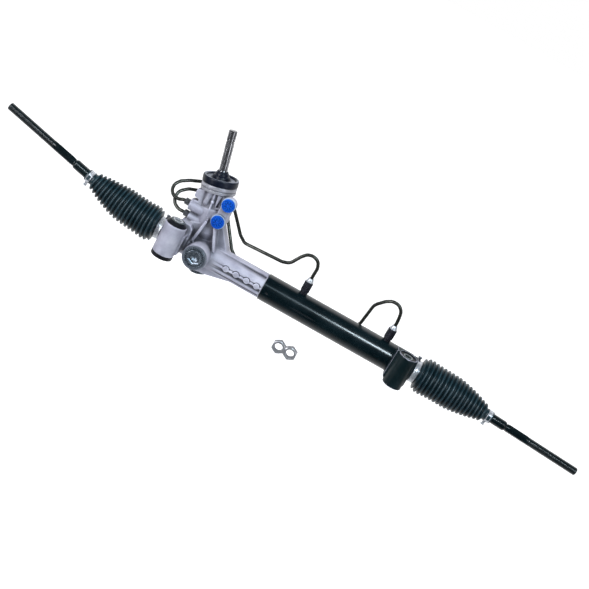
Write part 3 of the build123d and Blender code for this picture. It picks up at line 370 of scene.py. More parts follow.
def wrapped(mesh, voxel, rounds):
    """The mesh in one skin of even grain, smoothed a little."""
    holder = held(mesh)
    remesh = holder.modifiers.new("wrap", "REMESH")
    remesh.mode = "VOXEL"
    remesh.voxel_size = voxel
    ease = holder.modifiers.new("ease", "SMOOTH")
    ease.factor = 0.5
    ease.iterations = rounds
    return applied(holder)


def thinned(mesh, most):
    """The mesh collapsed, flat places first, to at most so many triangles."""
    holder = held(mesh)
    thin = holder.modifiers.new("thin", "DECIMATE")
    thin.ratio = min(1.0, most / (2 * len(mesh.polygons)))
    return applied(holder)


def solid_copy(node):
    """A copy of a CAD solid's mesh with its doubles merged."""
    work = bmesh.new()
    work.from_mesh(frame["nodes"][node].data)
    bmesh.ops.remove_doubles(work, verts=work.verts, dist=1e-6)
    mesh = bpy.data.meshes.new(node)
    work.to_mesh(mesh)
    work.free()
    return mesh


def peg(foot, top, radius, round_ends=True):
    """A round form of the casting from foot to top, with domed or flat ends."""
    foot, top = np.array(foot, float), np.array(top, float)
    bend = np.linspace(0, math.pi / 2, 7)
    if round_ends:
        low = np.stack([radius * np.sin(bend), -radius * np.cos(bend)], axis=1)
    else:
        low = np.array([(0.0, 0.0), (radius, 0.0)])
    high = low[::-1] * np.array([1.0, -1.0]) + np.array([0.0, np.linalg.norm(top - foot)])
    place = axes(foot, top - foot, PEG_LEVEL)
    return grid_mesh("cast_form", [revolved(place, np.concatenate([low, high]), 24)])


def slab(outline, front, rear):
    """A flat form of the casting: an outline of x and height, between two depths."""
    flat = np.array(outline, float)
    middle = np.tile(flat.mean(axis=0), (len(flat), 1))
    rows = []
    for ring, depth in ((middle, front), (flat, front), (flat, rear), (middle, rear)):
        rows.append(np.stack([ring[:, 0], np.full(len(ring), depth), ring[:, 1]], axis=1))
    return grid_mesh("cast_form", [np.stack(rows)])


def cast_aluminium():
    """Blasted die-cast skin: grey with a trace of violet, fine pitting and flow stains, lighter on worn
    edges, with painted shade in its creases, hollows and corners.
    """
    material, tree, shader, where = finish("cast_aluminium")
    stains = speckle(tree, where, 34.0, 6.0)
    edge = tree.nodes.new("ShaderNodeNewGeometry").outputs["Pointiness"]
    # Pointiness makes the colour lighter on convex edges, as edge wear, and darker in concave creases, as
    # painted shade.
    worn_and_shaded = dimmed(tree, shades(tree, stains, CAST_TONES), span(tree, edge, 0.75, 1.5, start=0.46, stop=0.56))
    hollow = tree.nodes.new("ShaderNodeAttribute")
    hollow.attribute_name = "hollow"
    # The hollow attribute darkens the colour as painted shade, down to 0.3 of it in the deepest hollows.
    worn_and_shaded = dimmed(tree, worn_and_shaded, span(tree, hollow.outputs["Fac"], 1.0, 0.3, start=0.0, stop=1.0))
    pits = speckle(tree, where, 1300.0, 3.0, 0.65)
    # More painted shade where other faces stand within 16 mm.
    surfaced(tree, shader, painted_crease_shade(tree, worn_and_shaded, 0.016, 0.36), span(tree, stains, 0.44, 0.6), pits, 0.00028, 0.6,
             metallic=0.35, specular=0.4)
    return material


CAST_FORMS = [
    # In the tower's recess: the left column, a slanted rib, a button, a wedge and a low bar.
    peg((-199.7, -7.5, 83.5), (-199.0, -7.5, 106.0), 5.2),
    peg((-187.3, -9.5, 64.0), (-191.4, -10.0, 106.0), 2.0),
    peg((-189.1, -10.5, 90.6), (-189.1, -12.5, 90.6), 3.2),
    slab([(-185.6, 106.0), (-178.6, 106.0), (-179.8, 92.0), (-181.6, 82.5), (-184.0, 92.0)], -11.8, -2.0),
    peg((-180.0, -9.0, 82.0), (-171.5, -9.0, 85.0), 1.8),
    # A post and a button left of the yoke boss.
    peg((-198.0, -24.0, 15.0), (-198.4, -24.0, 2.0), 2.4),
    peg((-199.4, -22.5, -5.4), (-199.4, -24.5, -5.4), 3.4),
    # The bosses of the two pipe ports.
    peg((-223.6, 0.5, 64.2), (-196.5, 0.5, 64.2), 9.6, False),
    peg((-217.0, 0.5, 45.1), (-196.0, 0.5, 45.1), 7.9, False),
    # Two webs from the tower down to the yoke boss.
    slab([(-185.0, 58.0), (-180.2, 58.0), (-187.6, 14.0), (-192.4, 14.0)], -21.5, -10.0),
    slab([(-168.4, 56.0), (-163.6, 56.0), (-146.8, 16.0), (-151.6, 16.0)], -21.0, -10.0),
]

cast_metal = cast_aluminium()
raw_casting = wrapped(solid_copy("rack_housing"), CAST_VOXEL, 1)
moved_by(raw_casting, recess_relief)
joined = bmesh.new()
for form in [raw_casting] + CAST_FORMS:
    joined.from_mesh(form)
joined.to_mesh(raw_casting)
joined.free()
casting_mesh = wrapped(raw_casting, CAST_VOXEL, 3)
moved_by(casting_mesh, tube_relief)
casting_mesh = thinned(casting_mesh, CAST_TRIANGLES)
# The depth in the hollows, stored for the casting's painted shade.
hollow = casting_mesh.attributes.new("hollow", "FLOAT", "POINT")
hollow.data.foreach_set("value", painted_hollow_shade(points_of(casting_mesh)).astype(np.float32))
placed("housing_casting", casting_mesh, cast_metal, "rack_housing", sharp=60.0)

# ---------------------------------------------------------------- cylinder tube
# The power cylinder: a drawn steel tube pressed over the casting's spigot,
# staked to it by two dents and reduced at its right end for the boot. It is
# painted gloss black after welding.

TUBE_START = -47.0
HOUSING_END = 258.0
TUBE_R = 24.25
TUBE_BORE_R = 21.5
NECK_R = 17.75
NECK_BORE_R = 15.0
NECK_STARTS = (234.0, 240.0)
BULKHEAD_X = 212.0
STAKE_X = -36.3
STAKE_R = 3.5
STAKE_DEPTH = 0.9
STAKED_STRETCH = (-42.5, -30.0)
BARE_METAL = (0.27, 0.27, 0.33, 1.0)
RIGHT = (1.0, 0.0, 0.0)
ALONG_RACK = axes((0.0, 0.0, 0.0), RIGHT)


def feed(tree, value, socket):
    """Gives a socket a link, or a fixed value."""
    if isinstance(value, bpy.types.NodeSocket):
        tree.links.new(value, socket)
    else:
        socket.default_value = value


def arithmetic(tree, operation, *values):
    """One step of arithmetic between links and numbers."""
    node = tree.nodes.new("ShaderNodeMath")
    node.operation = operation
    for socket, value in zip(node.inputs, values):
        feed(tree, value, socket)
    return node.outputs[0]


def blended(tree, factor, first, second):
    """The first colour where the factor is 0, and the second where it is 1."""
    mix = tree.nodes.new("ShaderNodeMix")
    mix.data_type = "RGBA"
    tree.links.new(factor, mix.inputs["Factor"])
    feed(tree, first, mix.inputs[6])
    feed(tree, second, mix.inputs[7])
    return mix.outputs[2]


def paint(name, colour, rough, gloss, chips=0.0):
    """Black paint: a shallow orange peel, uneven gloss, and chips on its edges down to grey metal."""
    material, tree, shader, where = finish(name)
    cloud = speckle(tree, where, 24.0)
    lighter = tuple(c * 1.7 + 0.0008 for c in colour)
    base = shades(tree, cloud, [(0.35, colour), (0.7, lighter)])
    if chips:
        edge = tree.nodes.new("ShaderNodeNewGeometry").outputs["Pointiness"]
        flakes = speckle(tree, where, 260.0, 4.0, 0.75)
        ragged = arithmetic(tree, "MULTIPLY_ADD", flakes, 0.07, edge)
        base = blended(tree, span(tree, ragged, 0.0, chips, start=0.555, stop=0.58), base, BARE_METAL)
    peel = speckle(tree, where, 420.0, 2.0, 0.4)
    surfaced(tree, shader, base, span(tree, cloud, *rough), peel, 0.00003, 0.15, specular=gloss)
    return material


def softened(profile, radius, loop=False, steps=5):
    """The profile with each corner eased by a parabola that reaches one radius from it."""
    corner = np.array(profile, float)
    back = np.roll(corner, 1, axis=0) - corner
    ahead = np.roll(corner, -1, axis=0) - corner
    back_length = np.linalg.norm(back, axis=1, keepdims=True)
    ahead_length = np.linalg.norm(ahead, axis=1, keepdims=True)
    reach = np.minimum(radius, 0.4 * np.minimum(back_length, ahead_length))
    start = corner + back / np.maximum(back_length, 1e-9) * reach
    stop = corner + ahead / np.maximum(ahead_length, 1e-9) * reach
    u = np.linspace(0, 1, steps)[None, :, None]
    curve = start[:, None] * (1 - u) ** 2 + corner[:, None] * 2 * u * (1 - u) + stop[:, None] * u**2
    lead = start + (start - corner) * 0.15
    trail = stop + (stop - corner) * 0.15
    eased = np.concatenate([lead[:, None], curve, trail[:, None]], axis=1)
    if loop:
        return eased.reshape(-1, 2)
    return np.concatenate([corner[:1], eased[1:-1].reshape(-1, 2), corner[-1:]])


def shaped(name, grids, material, node, body="housing", sharp=38.0, loop=False):
    """A finished piece made of closed grids."""
    return placed(name, grid_mesh(name, grids, loop), material, node, body, sharp)


def tube_points(columns=200):
    """The tube's outer skin to its right end and its bore back, with its dents.

    Each dent takes from the outer radius as far as a ball, set over the skin,
    reaches below it: the root of the ball's radius squared less the distance
    squared, less the height of its centre.
    """
    profile = softened([
        (TUBE_BORE_R, TUBE_START), (TUBE_R - 0.5, TUBE_START), (TUBE_R, TUBE_START + 0.6), (TUBE_R, -44.0),
        (TUBE_R, NECK_STARTS[0]), (NECK_R, NECK_STARTS[1]), (NECK_R, HOUSING_END), (NECK_BORE_R, HOUSING_END),
        (NECK_BORE_R, BULKHEAD_X), (TUBE_BORE_R, BULKHEAD_X),
    ], 1.2, loop=True)
    before = (profile[:, 0] > TUBE_R - 0.1) & (profile[:, 1] < STAKED_STRETCH[0] - 0.1)
    outer = np.nonzero(before)[0][-1]
    fine = np.stack([np.full(70, TUBE_R), np.linspace(*STAKED_STRETCH, 70)], axis=1)
    profile = np.concatenate([profile[:outer + 1], fine, profile[outer + 1:]])
    radius = np.repeat(profile[:, :1], columns, axis=1)
    arc = (np.mod(round_turn(columns) + math.pi / 2, math.pi) - math.pi / 2)[None, :] * TUBE_R
    apart = np.hypot(profile[:, 1:] - STAKE_X, arc)
    dent = np.sqrt(np.maximum(STAKE_R**2 - apart**2, 0)) - (STAKE_R - STAKE_DEPTH)
    radius = radius - np.maximum(dent, 0) * (radius > TUBE_R - 0.1)
    return swept(ALONG_RACK, radius, profile[:, 1], columns)


tube_paint = paint("black_gloss_paint", (0.0008, 0.0042, 0.006), (0.17, 0.23), 0.8)
shaped("steel_tube", [tube_points()], tube_paint, "cylinder_tube", loop=True)

# ---------------------------------------------------------------- right bracket
# Upright steel boss with a pressed web, welded to the tube and painted satin
# black over blasted steel; the paint is chipped along its edges.

BRACKET_VOXEL = 0.0009
BRACKET_TRIANGLES = 60000

bracket_paint = paint("black_satin_paint", (0.0012, 0.0075, 0.0095), (0.34, 0.46), 0.3, chips=0.9)
bracket_mesh = thinned(wrapped(solid_copy("right_bracket"), BRACKET_VOXEL, 3), BRACKET_TRIANGLES)
placed("welded_bracket", bracket_mesh, bracket_paint, "right_bracket", sharp=60.0)

# ---------------------------------------------------------------- mounts
# Steel sleeves bonded in black rubber bushes, which carry the gear on its two
# bolts; a plated washer lies on the left bush.

UP = (0.0, 0.0, 1.0)
MOUNT_X = 222.0
MOUNT_Y = -42.0
LEFT_BOSS = axes((-MOUNT_X, MOUNT_Y, 0.0), UP, RIGHT)
RIGHT_BOSS = axes((MOUNT_X, MOUNT_Y, 0.0), UP, RIGHT)
SLEEVE_R = 8.9
SLEEVE_BORE_R = 6.1
SEAT_Z = -29.0
BUSH_R = 14.9
LEFT_BUSH = [
    (SLEEVE_R, 42.0), (12.5, 42.0), (13.5, 41.0), (17.8, 37.0), (18.0, 36.0), (BUSH_R, 36.0), (BUSH_R, -20.7),
    (19.0, -20.7), (19.0, -27.0), (SLEEVE_R, -27.0),
]
RIGHT_BUSH = [
    (SLEEVE_R, 32.0), (10.5, 31.4), (13.4, 31.4), (BUSH_R, 32.5), (BUSH_R, -26.0), (SLEEVE_R, -26.0),
]
LEFT_SLEEVE_TOP = 43.7
RIGHT_SLEEVE_TOP = 32.65
WASHER = [(SLEEVE_R + 0.1, 42.0), (12.5, 42.0), (12.5, 43.2), (SLEEVE_R + 0.1, 43.2)]
# Where the cap's top takes its lighter colour of dust and painted sheen.
DUST_AND_SHEEN_LEVEL = (0.8, 0.95)
DUST_AND_SHEEN_RADIUS = (0.0165, 0.0185)


def vector_step(tree, operation, vector, fixed=None):
    """One step of arithmetic on a vector, with a fixed vector where it takes two."""
    node = tree.nodes.new("ShaderNodeVectorMath")
    node.operation = operation
    tree.links.new(vector, node.inputs[0])
    if fixed is not None:
        node.inputs[1].default_value = tuple(fixed)
    return node.outputs["Value" if operation == "LENGTH" else "Vector"]


def dust_and_sheen(tree, where):
    """How much dust and painted sheen a place takes, 0 to 1: on what faces up, from 17.5 mm out from the
    pinion's axis.
    """
    facing = tree.nodes.new("ShaderNodeSeparateXYZ")
    tree.links.new(tree.nodes.new("ShaderNodeNewGeometry").outputs["Normal"], facing.inputs["Vector"])
    level = span(tree, facing.outputs["Z"], 0.0, 1.0, *DUST_AND_SHEEN_LEVEL)
    offset = vector_step(tree, "SUBTRACT", where, (RACK_AXIS + np.array([PINION_X, PINION_Y, 0.0])) / 1000)
    apart = vector_step(tree, "LENGTH", vector_step(tree, "CROSS_PRODUCT", offset, SHAFT_LINE))
    return arithmetic(tree, "MULTIPLY", level, span(tree, apart, 0.0, 1.0, *DUST_AND_SHEEN_RADIUS))


def rubber(name, colour, rough, gloss=0.3, dust_and_sheen_colour=None):
    """Moulded rubber or plastic: even skin with a little bloom, a fine grain, painted shade where faces close
    in, and where a colour is given, dust and painted sheen of that colour on what faces up.
    """
    material, tree, shader, where = finish(name)
    bloom = speckle(tree, where, 45.0)
    lighter = tuple(c * 1.8 + 0.003 for c in colour)
    tone = shades(tree, bloom, [(0.35, colour), (0.75, lighter)])
    if dust_and_sheen_colour:
        # On what faces up the tone turns lighter: dust and painted sheen.
        tone = blended(tree, dust_and_sheen(tree, where), tone, shades(tree, bloom, [(0.3, dust_and_sheen_colour), (0.8, lighter)]))
    uneven = span(tree, bloom, rough - 0.06, rough + 0.08)
    grain = speckle(tree, where, 900.0, 2.0)
    # Painted shade where other faces stand within 10 mm.
    surfaced(tree, shader, painted_crease_shade(tree, tone, 0.010, 0.3), uneven, grain, 0.00008, 0.3, specular=gloss)
    return material


def plated(name, dark, light, rough, scale=60.0, metallic=0.9, stretch=(1.0, 1.0, 1.0)):
    """Plated or bare metal: cloudy tone, fine handling marks, uneven gloss, and corners darkened as painted
    shade.
    """
    material, tree, shader, where = finish(name)
    cloud = speckle(tree, where, scale, 5.0, 0.6, stretch)
    # Corners darkened as painted shade.
    tone = painted_crease_shade(tree, shades(tree, cloud, [(0.3, dark), (0.7, light)]), 0.006, 0.35)
    marks = speckle(tree, where, 700.0, 3.0, 0.7)
    surfaced(tree, shader, tone, span(tree, marks, *rough), marks, 0.00004, 0.3, metallic=metallic)
    return material


def turned_part(name, place, profile, easing, material, node, columns=96):
    """A ring turned or moulded from one closed profile of radius and height."""
    grid = revolved(place, softened(profile, easing, loop=True), columns)
    return shaped(name, [grid], material, node, loop=True)


bush_rubber = rubber("black_rubber", (0.0035, 0.004, 0.006), 0.34)
zinc = plated("zinc_plate", (0.42, 0.44, 0.48), (0.66, 0.68, 0.72), (0.22, 0.36), metallic=0.6)
dull_zinc = plated("dull_zinc", (0.10, 0.12, 0.125), (0.22, 0.25, 0.26), (0.16, 0.3), metallic=0.7)
turned_part("left_bush_rubber", LEFT_BOSS, LEFT_BUSH, 0.8, bush_rubber, "left_bush")
turned_part("right_bush_rubber", RIGHT_BOSS, RIGHT_BUSH, 0.8, bush_rubber, "right_bush")
for side, boss, top, metal in (
    ("left", LEFT_BOSS, LEFT_SLEEVE_TOP, zinc),
    ("right", RIGHT_BOSS, RIGHT_SLEEVE_TOP, dull_zinc),
):
    sleeve = [(SLEEVE_BORE_R, SEAT_Z), (SLEEVE_R, SEAT_Z), (SLEEVE_R, top), (SLEEVE_BORE_R, top)]
    turned_part(side + "_sleeve", boss, sleeve, 0.9, metal, side + "_bush_sleeve")
turned_part("washer", LEFT_BOSS, WASHER, 0.4, dull_zinc, "left_bush_washer")

# ---------------------------------------------------------------- rack and cylinder
# Induction-hardened steel rack with its piston, the two ball sockets screwed
# into its ends, and the seals and bush that close the cylinder round it.


def dress_parts(material, *names):
    """Gives one material to CAD parts that keep their shape."""
    for name in names:
        dress(frame["nodes"][name], material)


steel = plated("bright_steel", (0.30, 0.30, 0.31), (0.62, 0.62, 0.64), (0.16, 0.3), 90.0)
seal_rubber = rubber("seal_rubber", (0.012, 0.011, 0.010), 0.55)
slippery = rubber("ptfe", (0.20, 0.17, 0.10), 0.45)
seat_resin = rubber("seat_plastic", (0.55, 0.53, 0.46), 0.4)
dress_parts(steel, "rack_bar", "piston", "left_socket", "right_socket", "inner_seal_retainer", "end_bush",
            "end_bush_retainer")
dress_parts(seal_rubber, "inner_rack_seal", "outer_rack_seal")
dress_parts(slippery, "piston_ring")
dress_parts(seat_resin, "left_ball_seat", "right_ball_seat")

# ---------------------------------------------------------------- yoke
# A sprung aluminium yoke presses the rack to the pinion. Its steel plug is
# screwed into the boss, dark passivated, and adjusted by a hexagon socket.

FRONT = (0.0, -1.0, 0.0)
YOKE_LINE = axes((PINION_X, 0.0, 0.0), FRONT, RIGHT)
SOCKET_FLATS = 17.0
YOKE_RING = [
    (18.1, 45.0), (18.1, 46.4), (19.0, 46.5), (19.3, 46.1), (20.1, 46.1), (20.4, 46.7), (21.0, 46.7),
    (21.75, 45.7), (21.75, 45.0),
]
YOKE_PLUG_ROWS = [
    (0.0, 38.0, 0), (17.0, 38.0, 0), (17.0, 46.0, 0), (17.9, 46.05, 0), (18.0, 46.3, 0), (17.9, 47.2, 0),
    (17.5, 47.5, 0), (15.9, 47.5, 0), (15.6, 47.35, 0), (15.3, 46.5, 0), (15.0, 46.2, 0), (14.2, 46.2, 0),
    (13.9, 46.5, 0), (13.6, 47.1, 0), (13.2, 47.3, 0), (12.4, 47.3, 0), (1.3, 47.2, 1), (1.15, 46.6, 1),
    (1.0, 45.8, 1), (1.0, 45.0, 1), (1.0, 43.6, 1), (0.97, 43.3, 1), (7.4, 43.2, 0), (7.0, 43.0, 0),
    (3.5, 41.0, 0), (0.0, 39.0, 0),
]


def hexagon_radius(flats, columns):
    """Radius of a hexagon by the turn: half the flats over the cosine of the angle from a flat's middle."""
    turn = round_turn(columns)
    return flats / 2 / np.cos(np.mod(turn + math.pi / 6, math.pi / 3) - math.pi / 6)


def yoke_plug_points(columns=96):
    """Rows that are circles of the given radius, or where marked 1 hexagons of that share of the socket."""
    rows = np.array(YOKE_PLUG_ROWS)
    flats = hexagon_radius(SOCKET_FLATS, columns)[None, :]
    radius = np.where(rows[:, 2:] > 0.5, rows[:, :1] * flats, rows[:, :1] + 0 * flats)
    return swept(YOKE_LINE, radius, rows[:, 1], columns)


passivated = plated("dark_passivate", (0.075, 0.095, 0.12), (0.24, 0.28, 0.33), (0.18, 0.34), 160.0, 0.7)
# The yoke ring's face is machined metal, made darker also as painted shade on the boss's face.
shaded_cut_ring = plated("shaded_cut_ring", (0.12, 0.135, 0.17), (0.24, 0.26, 0.31), (0.3, 0.44), 120.0, 0.5)
shaped("yoke_adjuster", [yoke_plug_points()], passivated, "yoke_plug", sharp=30.0)
turned_part("yoke_ring", YOKE_LINE, YOKE_RING, 0.25, shaded_cut_ring, "rack_housing")
dress_parts(cast_metal, "yoke")
dress_parts(slippery, "yoke_liner")
dress_parts(seal_rubber, "yoke_o_ring")
dress_parts(steel, "yoke_spring")

# ---------------------------------------------------------------- pinion and valve
# Helical pinion on two bearings, the rotary valve above it, and the input
# shaft that the column's joint clamps on; ground steel throughout, with a dark
# hexagon cap screwed in under the pinion.

ON_PINION = axes((PINION_X, PINION_Y, 0.0), SHAFT_LINE)
CHAMFER = math.radians(30)
CAP_FLATS = 30.0
CAP_FOOT = -36.5
CAP_END = -42.5
CAP_INSIDE = 4.0
CAP_SPIGOT_R = 14.0
CAP_DISH_R = (9.0, 9.4)
CAP_DISH_DEPTH = 0.8
CAP_COLUMNS = 96


def chamfered_hexagon(flats, low, high, columns, ease=0.97, rows=6):
    """Radius and height of a hexagon bar whose corners are turned off at both ends by a 30 degree cone."""
    drop = flats / 2 * (1 / math.cos(math.pi / 6) - ease) * math.tan(CHAMFER)
    height = np.concatenate([np.linspace(low, low + drop, rows), np.linspace(high - drop, high, rows)])
    cone = flats / 2 * ease + np.minimum(height - low, high - height) / math.tan(CHAMFER)
    return np.minimum(hexagon_radius(flats, columns)[None, :], cone[:, None]), height


# Lengthwise streaks in the shaft's colour: grinding marks and painted highlight streaks.
streaked_and_glinting = plated("ground_steel", (0.03, 0.035, 0.045), (0.62, 0.62, 0.65), (0.14, 0.24), 330.0,
                  stretch=(1.0, 1.0, 0.05))
dress_parts(steel, "pinion", "pinion_nut", "pinion_inner_race", "pinion_lower_bearing",
            "pinion_upper_bearing", "valve_sleeve", "torsion_bar", "input_bearing")
dress_parts(streaked_and_glinting, "input_shaft")
dress_parts(seal_rubber, "pinion_seal", "input_shaft_seal")
dress_parts(slippery, "valve_sleeve_rings")

bar_radius, bar_height = chamfered_hexagon(CAP_FLATS, CAP_END, CAP_FOOT, CAP_COLUMNS)
dish = np.array([[0.0], [CAP_DISH_R[0]], [CAP_DISH_R[1]]]) + np.zeros(CAP_COLUMNS)
spigot = np.array([[CAP_SPIGOT_R], [CAP_SPIGOT_R], [0.0]]) + np.zeros(CAP_COLUMNS)
cap_height = [CAP_END + CAP_DISH_DEPTH, CAP_END + CAP_DISH_DEPTH, CAP_END, *bar_height]
cap_height += [CAP_FOOT, CAP_FOOT + CAP_INSIDE, CAP_FOOT + CAP_INSIDE]
cap_points = swept(ON_PINION, np.concatenate([dish, bar_radius, spigot]), np.array(cap_height), CAP_COLUMNS)
shaped("bottom_cap", [cap_points], passivated, "pinion_bottom_cap", sharp=30.0)

# ---------------------------------------------------------------- tower cover and dust cap
# Turned aluminium cover with a ring groove, clamped on the tower, and a rubber
# cap snapped over its rim, dished on top round a stepped cone for the shaft.

COVER = [
    (19.0, 101.0), (19.0, 107.0), (30.3, 107.0), (30.5, 108.5), (30.5, 111.6), (29.0, 112.1), (29.0, 113.4),
    (30.5, 113.9), (30.5, 118.7), (29.8, 119.7), (25.0, 119.7), (25.0, 122.7), (15.0, 122.7), (15.0, 111.7),
    (14.0, 111.7), (14.0, 101.0),
]
DUST_CAP = [
    (25.0, 119.8), (30.0, 119.8), (31.0, 121.5), (31.0, 129.6), (30.5, 131.2), (29.2, 132.0), (27.2, 131.6),
    (25.6, 130.4), (24.8, 128.4), (17.5, 128.2), (15.6, 129.0), (14.4, 133.4), (13.6, 134.4), (12.2, 134.8),
    (11.4, 138.6), (10.8, 139.4), (9.9, 139.8), (9.5, 142.0), (8.1, 142.0), (8.1, 126.6), (28.0, 126.4),
    (28.0, 122.7), (25.0, 122.7),
]

turned_metal = plated("machined_aluminium", (0.30, 0.30, 0.34), (0.46, 0.46, 0.51), (0.28, 0.42), 70.0, 0.5)
# The cap's top takes a lighter grey on what faces up: dust and painted sheen.
cap_rubber = rubber("cap_rubber", (0.0025, 0.0045, 0.011), 0.34, dust_and_sheen_colour=(0.27, 0.29, 0.34))
turned_part("turned_cover", ON_PINION, COVER, 0.7, turned_metal, "tower_cover", 144)
turned_part("moulded_cap", ON_PINION, DUST_CAP, 0.7, cap_rubber, "dust_cap", 144)

# ---------------------------------------------------------------- port plugs
# Blue polyethylene transit plugs, pressed into the two hose ports, each with a
# moulded rosette; the port's face round the plug is machined, and painted pale
# blue as a halo of light round the plug.

PORTS = {"upper": (-161.5, 102.0), "lower": (-165.0, 68.0)}
PLUG_R = 11.25
PLUG_FRONT = 28.0
PORT_FACE = 24.0
PLUG_STEM_R = 8.0
PLUG_STEM_END = 15.0
PORT_BOSS_R = 12.5
PLUG_BODY = np.array([
    (0.0, PLUG_STEM_END), (7.2, PLUG_STEM_END), (PLUG_STEM_R, PLUG_STEM_END + 1), (PLUG_STEM_R, PORT_FACE),
    (10.9, PORT_FACE), (PLUG_R, PORT_FACE + 0.5), (PLUG_R, PLUG_FRONT - 1.0),
    (PLUG_R - 0.3, PLUG_FRONT - 0.35), (PLUG_R - 0.9, PLUG_FRONT), (9.6, PLUG_FRONT),
    (9.2, PLUG_FRONT - 0.5),
])
FACE_RING = [
    (PLUG_STEM_R + 0.4, 22.0), (PORT_BOSS_R - 0.1, 22.0), (PORT_BOSS_R + 0.05, 23.6),
    (PORT_BOSS_R - 0.5, 24.1), (PLUG_STEM_R + 0.4, 24.1),
]


def blue_plastic():
    """Injection-moulded plastic, strongly coloured, with a soft sheen and painted shade where faces close in.
    """
    material, tree, shader, where = finish("blue_plastic")
    cloud = speckle(tree, where, 60.0, 3.0)
    colour = shades(tree, cloud, [(0.3, (0.0, 0.052, 0.37)), (0.7, (0.0, 0.082, 0.49))])
    grain = speckle(tree, where, 800.0, 2.0)
    # Painted shade where other faces stand within 3 mm.
    surfaced(tree, shader, painted_crease_shade(tree, colour, 0.003, 0.1), span(tree, cloud, 0.3, 0.42), grain, 0.00004, 0.3,
             specular=0.15)
    return material


def plug_points(place, columns=96):
    """A plug from its stem to its face; the face carries eight petals and a ring.

    The petals are the cosine of eight times the turn, flattened by a hyperbolic
    tangent, times a rounded hump over the radius from 3 to 8.5 mm.
    """
    face_r = np.linspace(8.9, 0.0, 30)
    hump = np.clip((face_r - 2.6) / 1.4, 0, 1) * np.clip((8.6 - face_r) / 1.2, 0, 1)
    petals = 1.5 * hump[:, None] * (0.5 + 0.5 * np.tanh(3 * np.cos(8 * round_turn(columns))))[None, :]
    centre = 0.5 * np.clip((2.2 - face_r) / 0.6, 0, 1)[:, None]
    radius = np.concatenate([PLUG_BODY[:, 0], face_r])
    body = np.repeat(PLUG_BODY[:, 1:], columns, axis=1)
    return swept(place, radius, np.concatenate([body, PLUG_FRONT - 0.7 + petals + centre]), columns)


plug_blue = blue_plastic()
# The machined face round each plug is pale blue: a painted halo of light from the plug.
painted_halo_face = plated("painted_halo_face", (0.34, 0.50, 0.72), (0.46, 0.62, 0.84), (0.3, 0.42), 90.0, 0.2)
for name, (x, z) in PORTS.items():
    place = axes((x, 0.0, z), FRONT, RIGHT)
    shaped("plug_" + name, [plug_points(place)], plug_blue, "port_plug_" + name, sharp=45.0)
    turned_part("port_face_" + name, place, FACE_RING, 0.3, painted_halo_face, "rack_housing")

# ---------------------------------------------------------------- transfer pipes
# Two bent steel pipes from the valve to the ends of the cylinder, olive
# chromated, held by black union nuts and plated collars.

PIPE_R = 3.0
PIPE_HOLE_R = PIPE_R + 0.02
PIPE_COLUMNS = 72
SIDE_PORTS = {"upper": (64.2, -224.4), "lower": (45.1, -217.6)}
SIDE_PORT_Y = 4.0
SIDE_NUT_FLATS = 11.0
SIDE_NUT_LENGTH = 9.0
NUT_SEAT = 6.0
NUT_SEAT_R = 5.0
CYLINDER_PORTS = (18.0, 181.0)
PORT_BOSS = [(2.0, 21.8), (6.75, 21.8), (6.75, 29.0), (2.0, 29.0)]
PORT_NUT = (15.0, 29.0, 47.0)
COLLAR = [(PIPE_R, 47.0), (6.75, 47.0), (6.75, 48.6), (6.0, 49.4), (5.6, 51.4), (4.3, 54.5), (PIPE_R, 54.5)]


def nut_points(place, flats, low, high, bore, columns=PIPE_COLUMNS, thread=0.0, pitch=1.5):
    """A hexagon nut as one loop of rows: its chamfered outside, then its bore with a thread.

    The bore's radius grows by the thread's depth times the distance from the
    helix of its crest.
    """
    radius, height = chamfered_hexagon(flats, low, high, columns)
    bore_height = np.linspace(high, low, 49 if thread else 9)
    phase = np.mod(bore_height[:, None] / pitch - round_turn(columns)[None, :] / (2 * np.pi), 1.0)
    bore_radius = bore + thread * np.abs(2 * phase - 1)
    mouth = np.full((1, columns), bore + 0.8)
    radius = np.concatenate([radius, mouth, bore_radius[1:-1], mouth])
    height = np.concatenate([height, [high], bore_height[1:-1], [low]])
    return swept(place, radius, height, columns)


def rings(places, profile, easing):
    """The same turned ring at each place."""
    return [revolved(place, softened(profile, easing, loop=True), PIPE_COLUMNS) for place in places]


pipe_metal = plated("olive_pipe", (0.030, 0.033, 0.029), (0.085, 0.088, 0.078), (0.22, 0.36), 80.0, 0.8)
nut_metal = plated("dark_nut", (0.018, 0.02, 0.028), (0.05, 0.052, 0.066), (0.2, 0.34), 120.0, 0.7)
grey_nut = plated("grey_nut", (0.10, 0.105, 0.115), (0.26, 0.27, 0.29), (0.22, 0.36), 150.0, 0.7)
dress_parts(pipe_metal, "near_pipe", "far_pipe")
tower_nuts = []
for height, end in SIDE_PORTS.values():
    place = axes((0.0, SIDE_PORT_Y, height), (-1.0, 0.0, 0.0))
    tower_nuts.append(nut_points(place, SIDE_NUT_FLATS, -end, -end + SIDE_NUT_LENGTH, PIPE_HOLE_R))
    foot, top = -end - NUT_SEAT, -end + 0.5
    seat = [(PIPE_HOLE_R, foot), (NUT_SEAT_R, foot), (NUT_SEAT_R, top), (PIPE_HOLE_R, top)]
    tower_nuts += rings([place], seat, 0.3)
shaped("union_nuts", tower_nuts, grey_nut, "tower_pipe_nuts", sharp=30.0, loop=True)
over_tube = [axes((x, 0.0, 0.0), UP, RIGHT) for x in CYLINDER_PORTS]
bosses = rings(over_tube, PORT_BOSS, 0.6)
shaped("port_bosses", bosses, nut_metal, "cylinder_port_bosses", loop=True)
nuts = [nut_points(place, *PORT_NUT, PIPE_HOLE_R) for place in over_tube]
shaped("port_nuts", nuts, nut_metal, "cylinder_port_nuts", sharp=30.0, loop=True)
shaped("collar_rings", rings(over_tube, COLLAR, 0.4), zinc, "pipe_collars", loop=True)

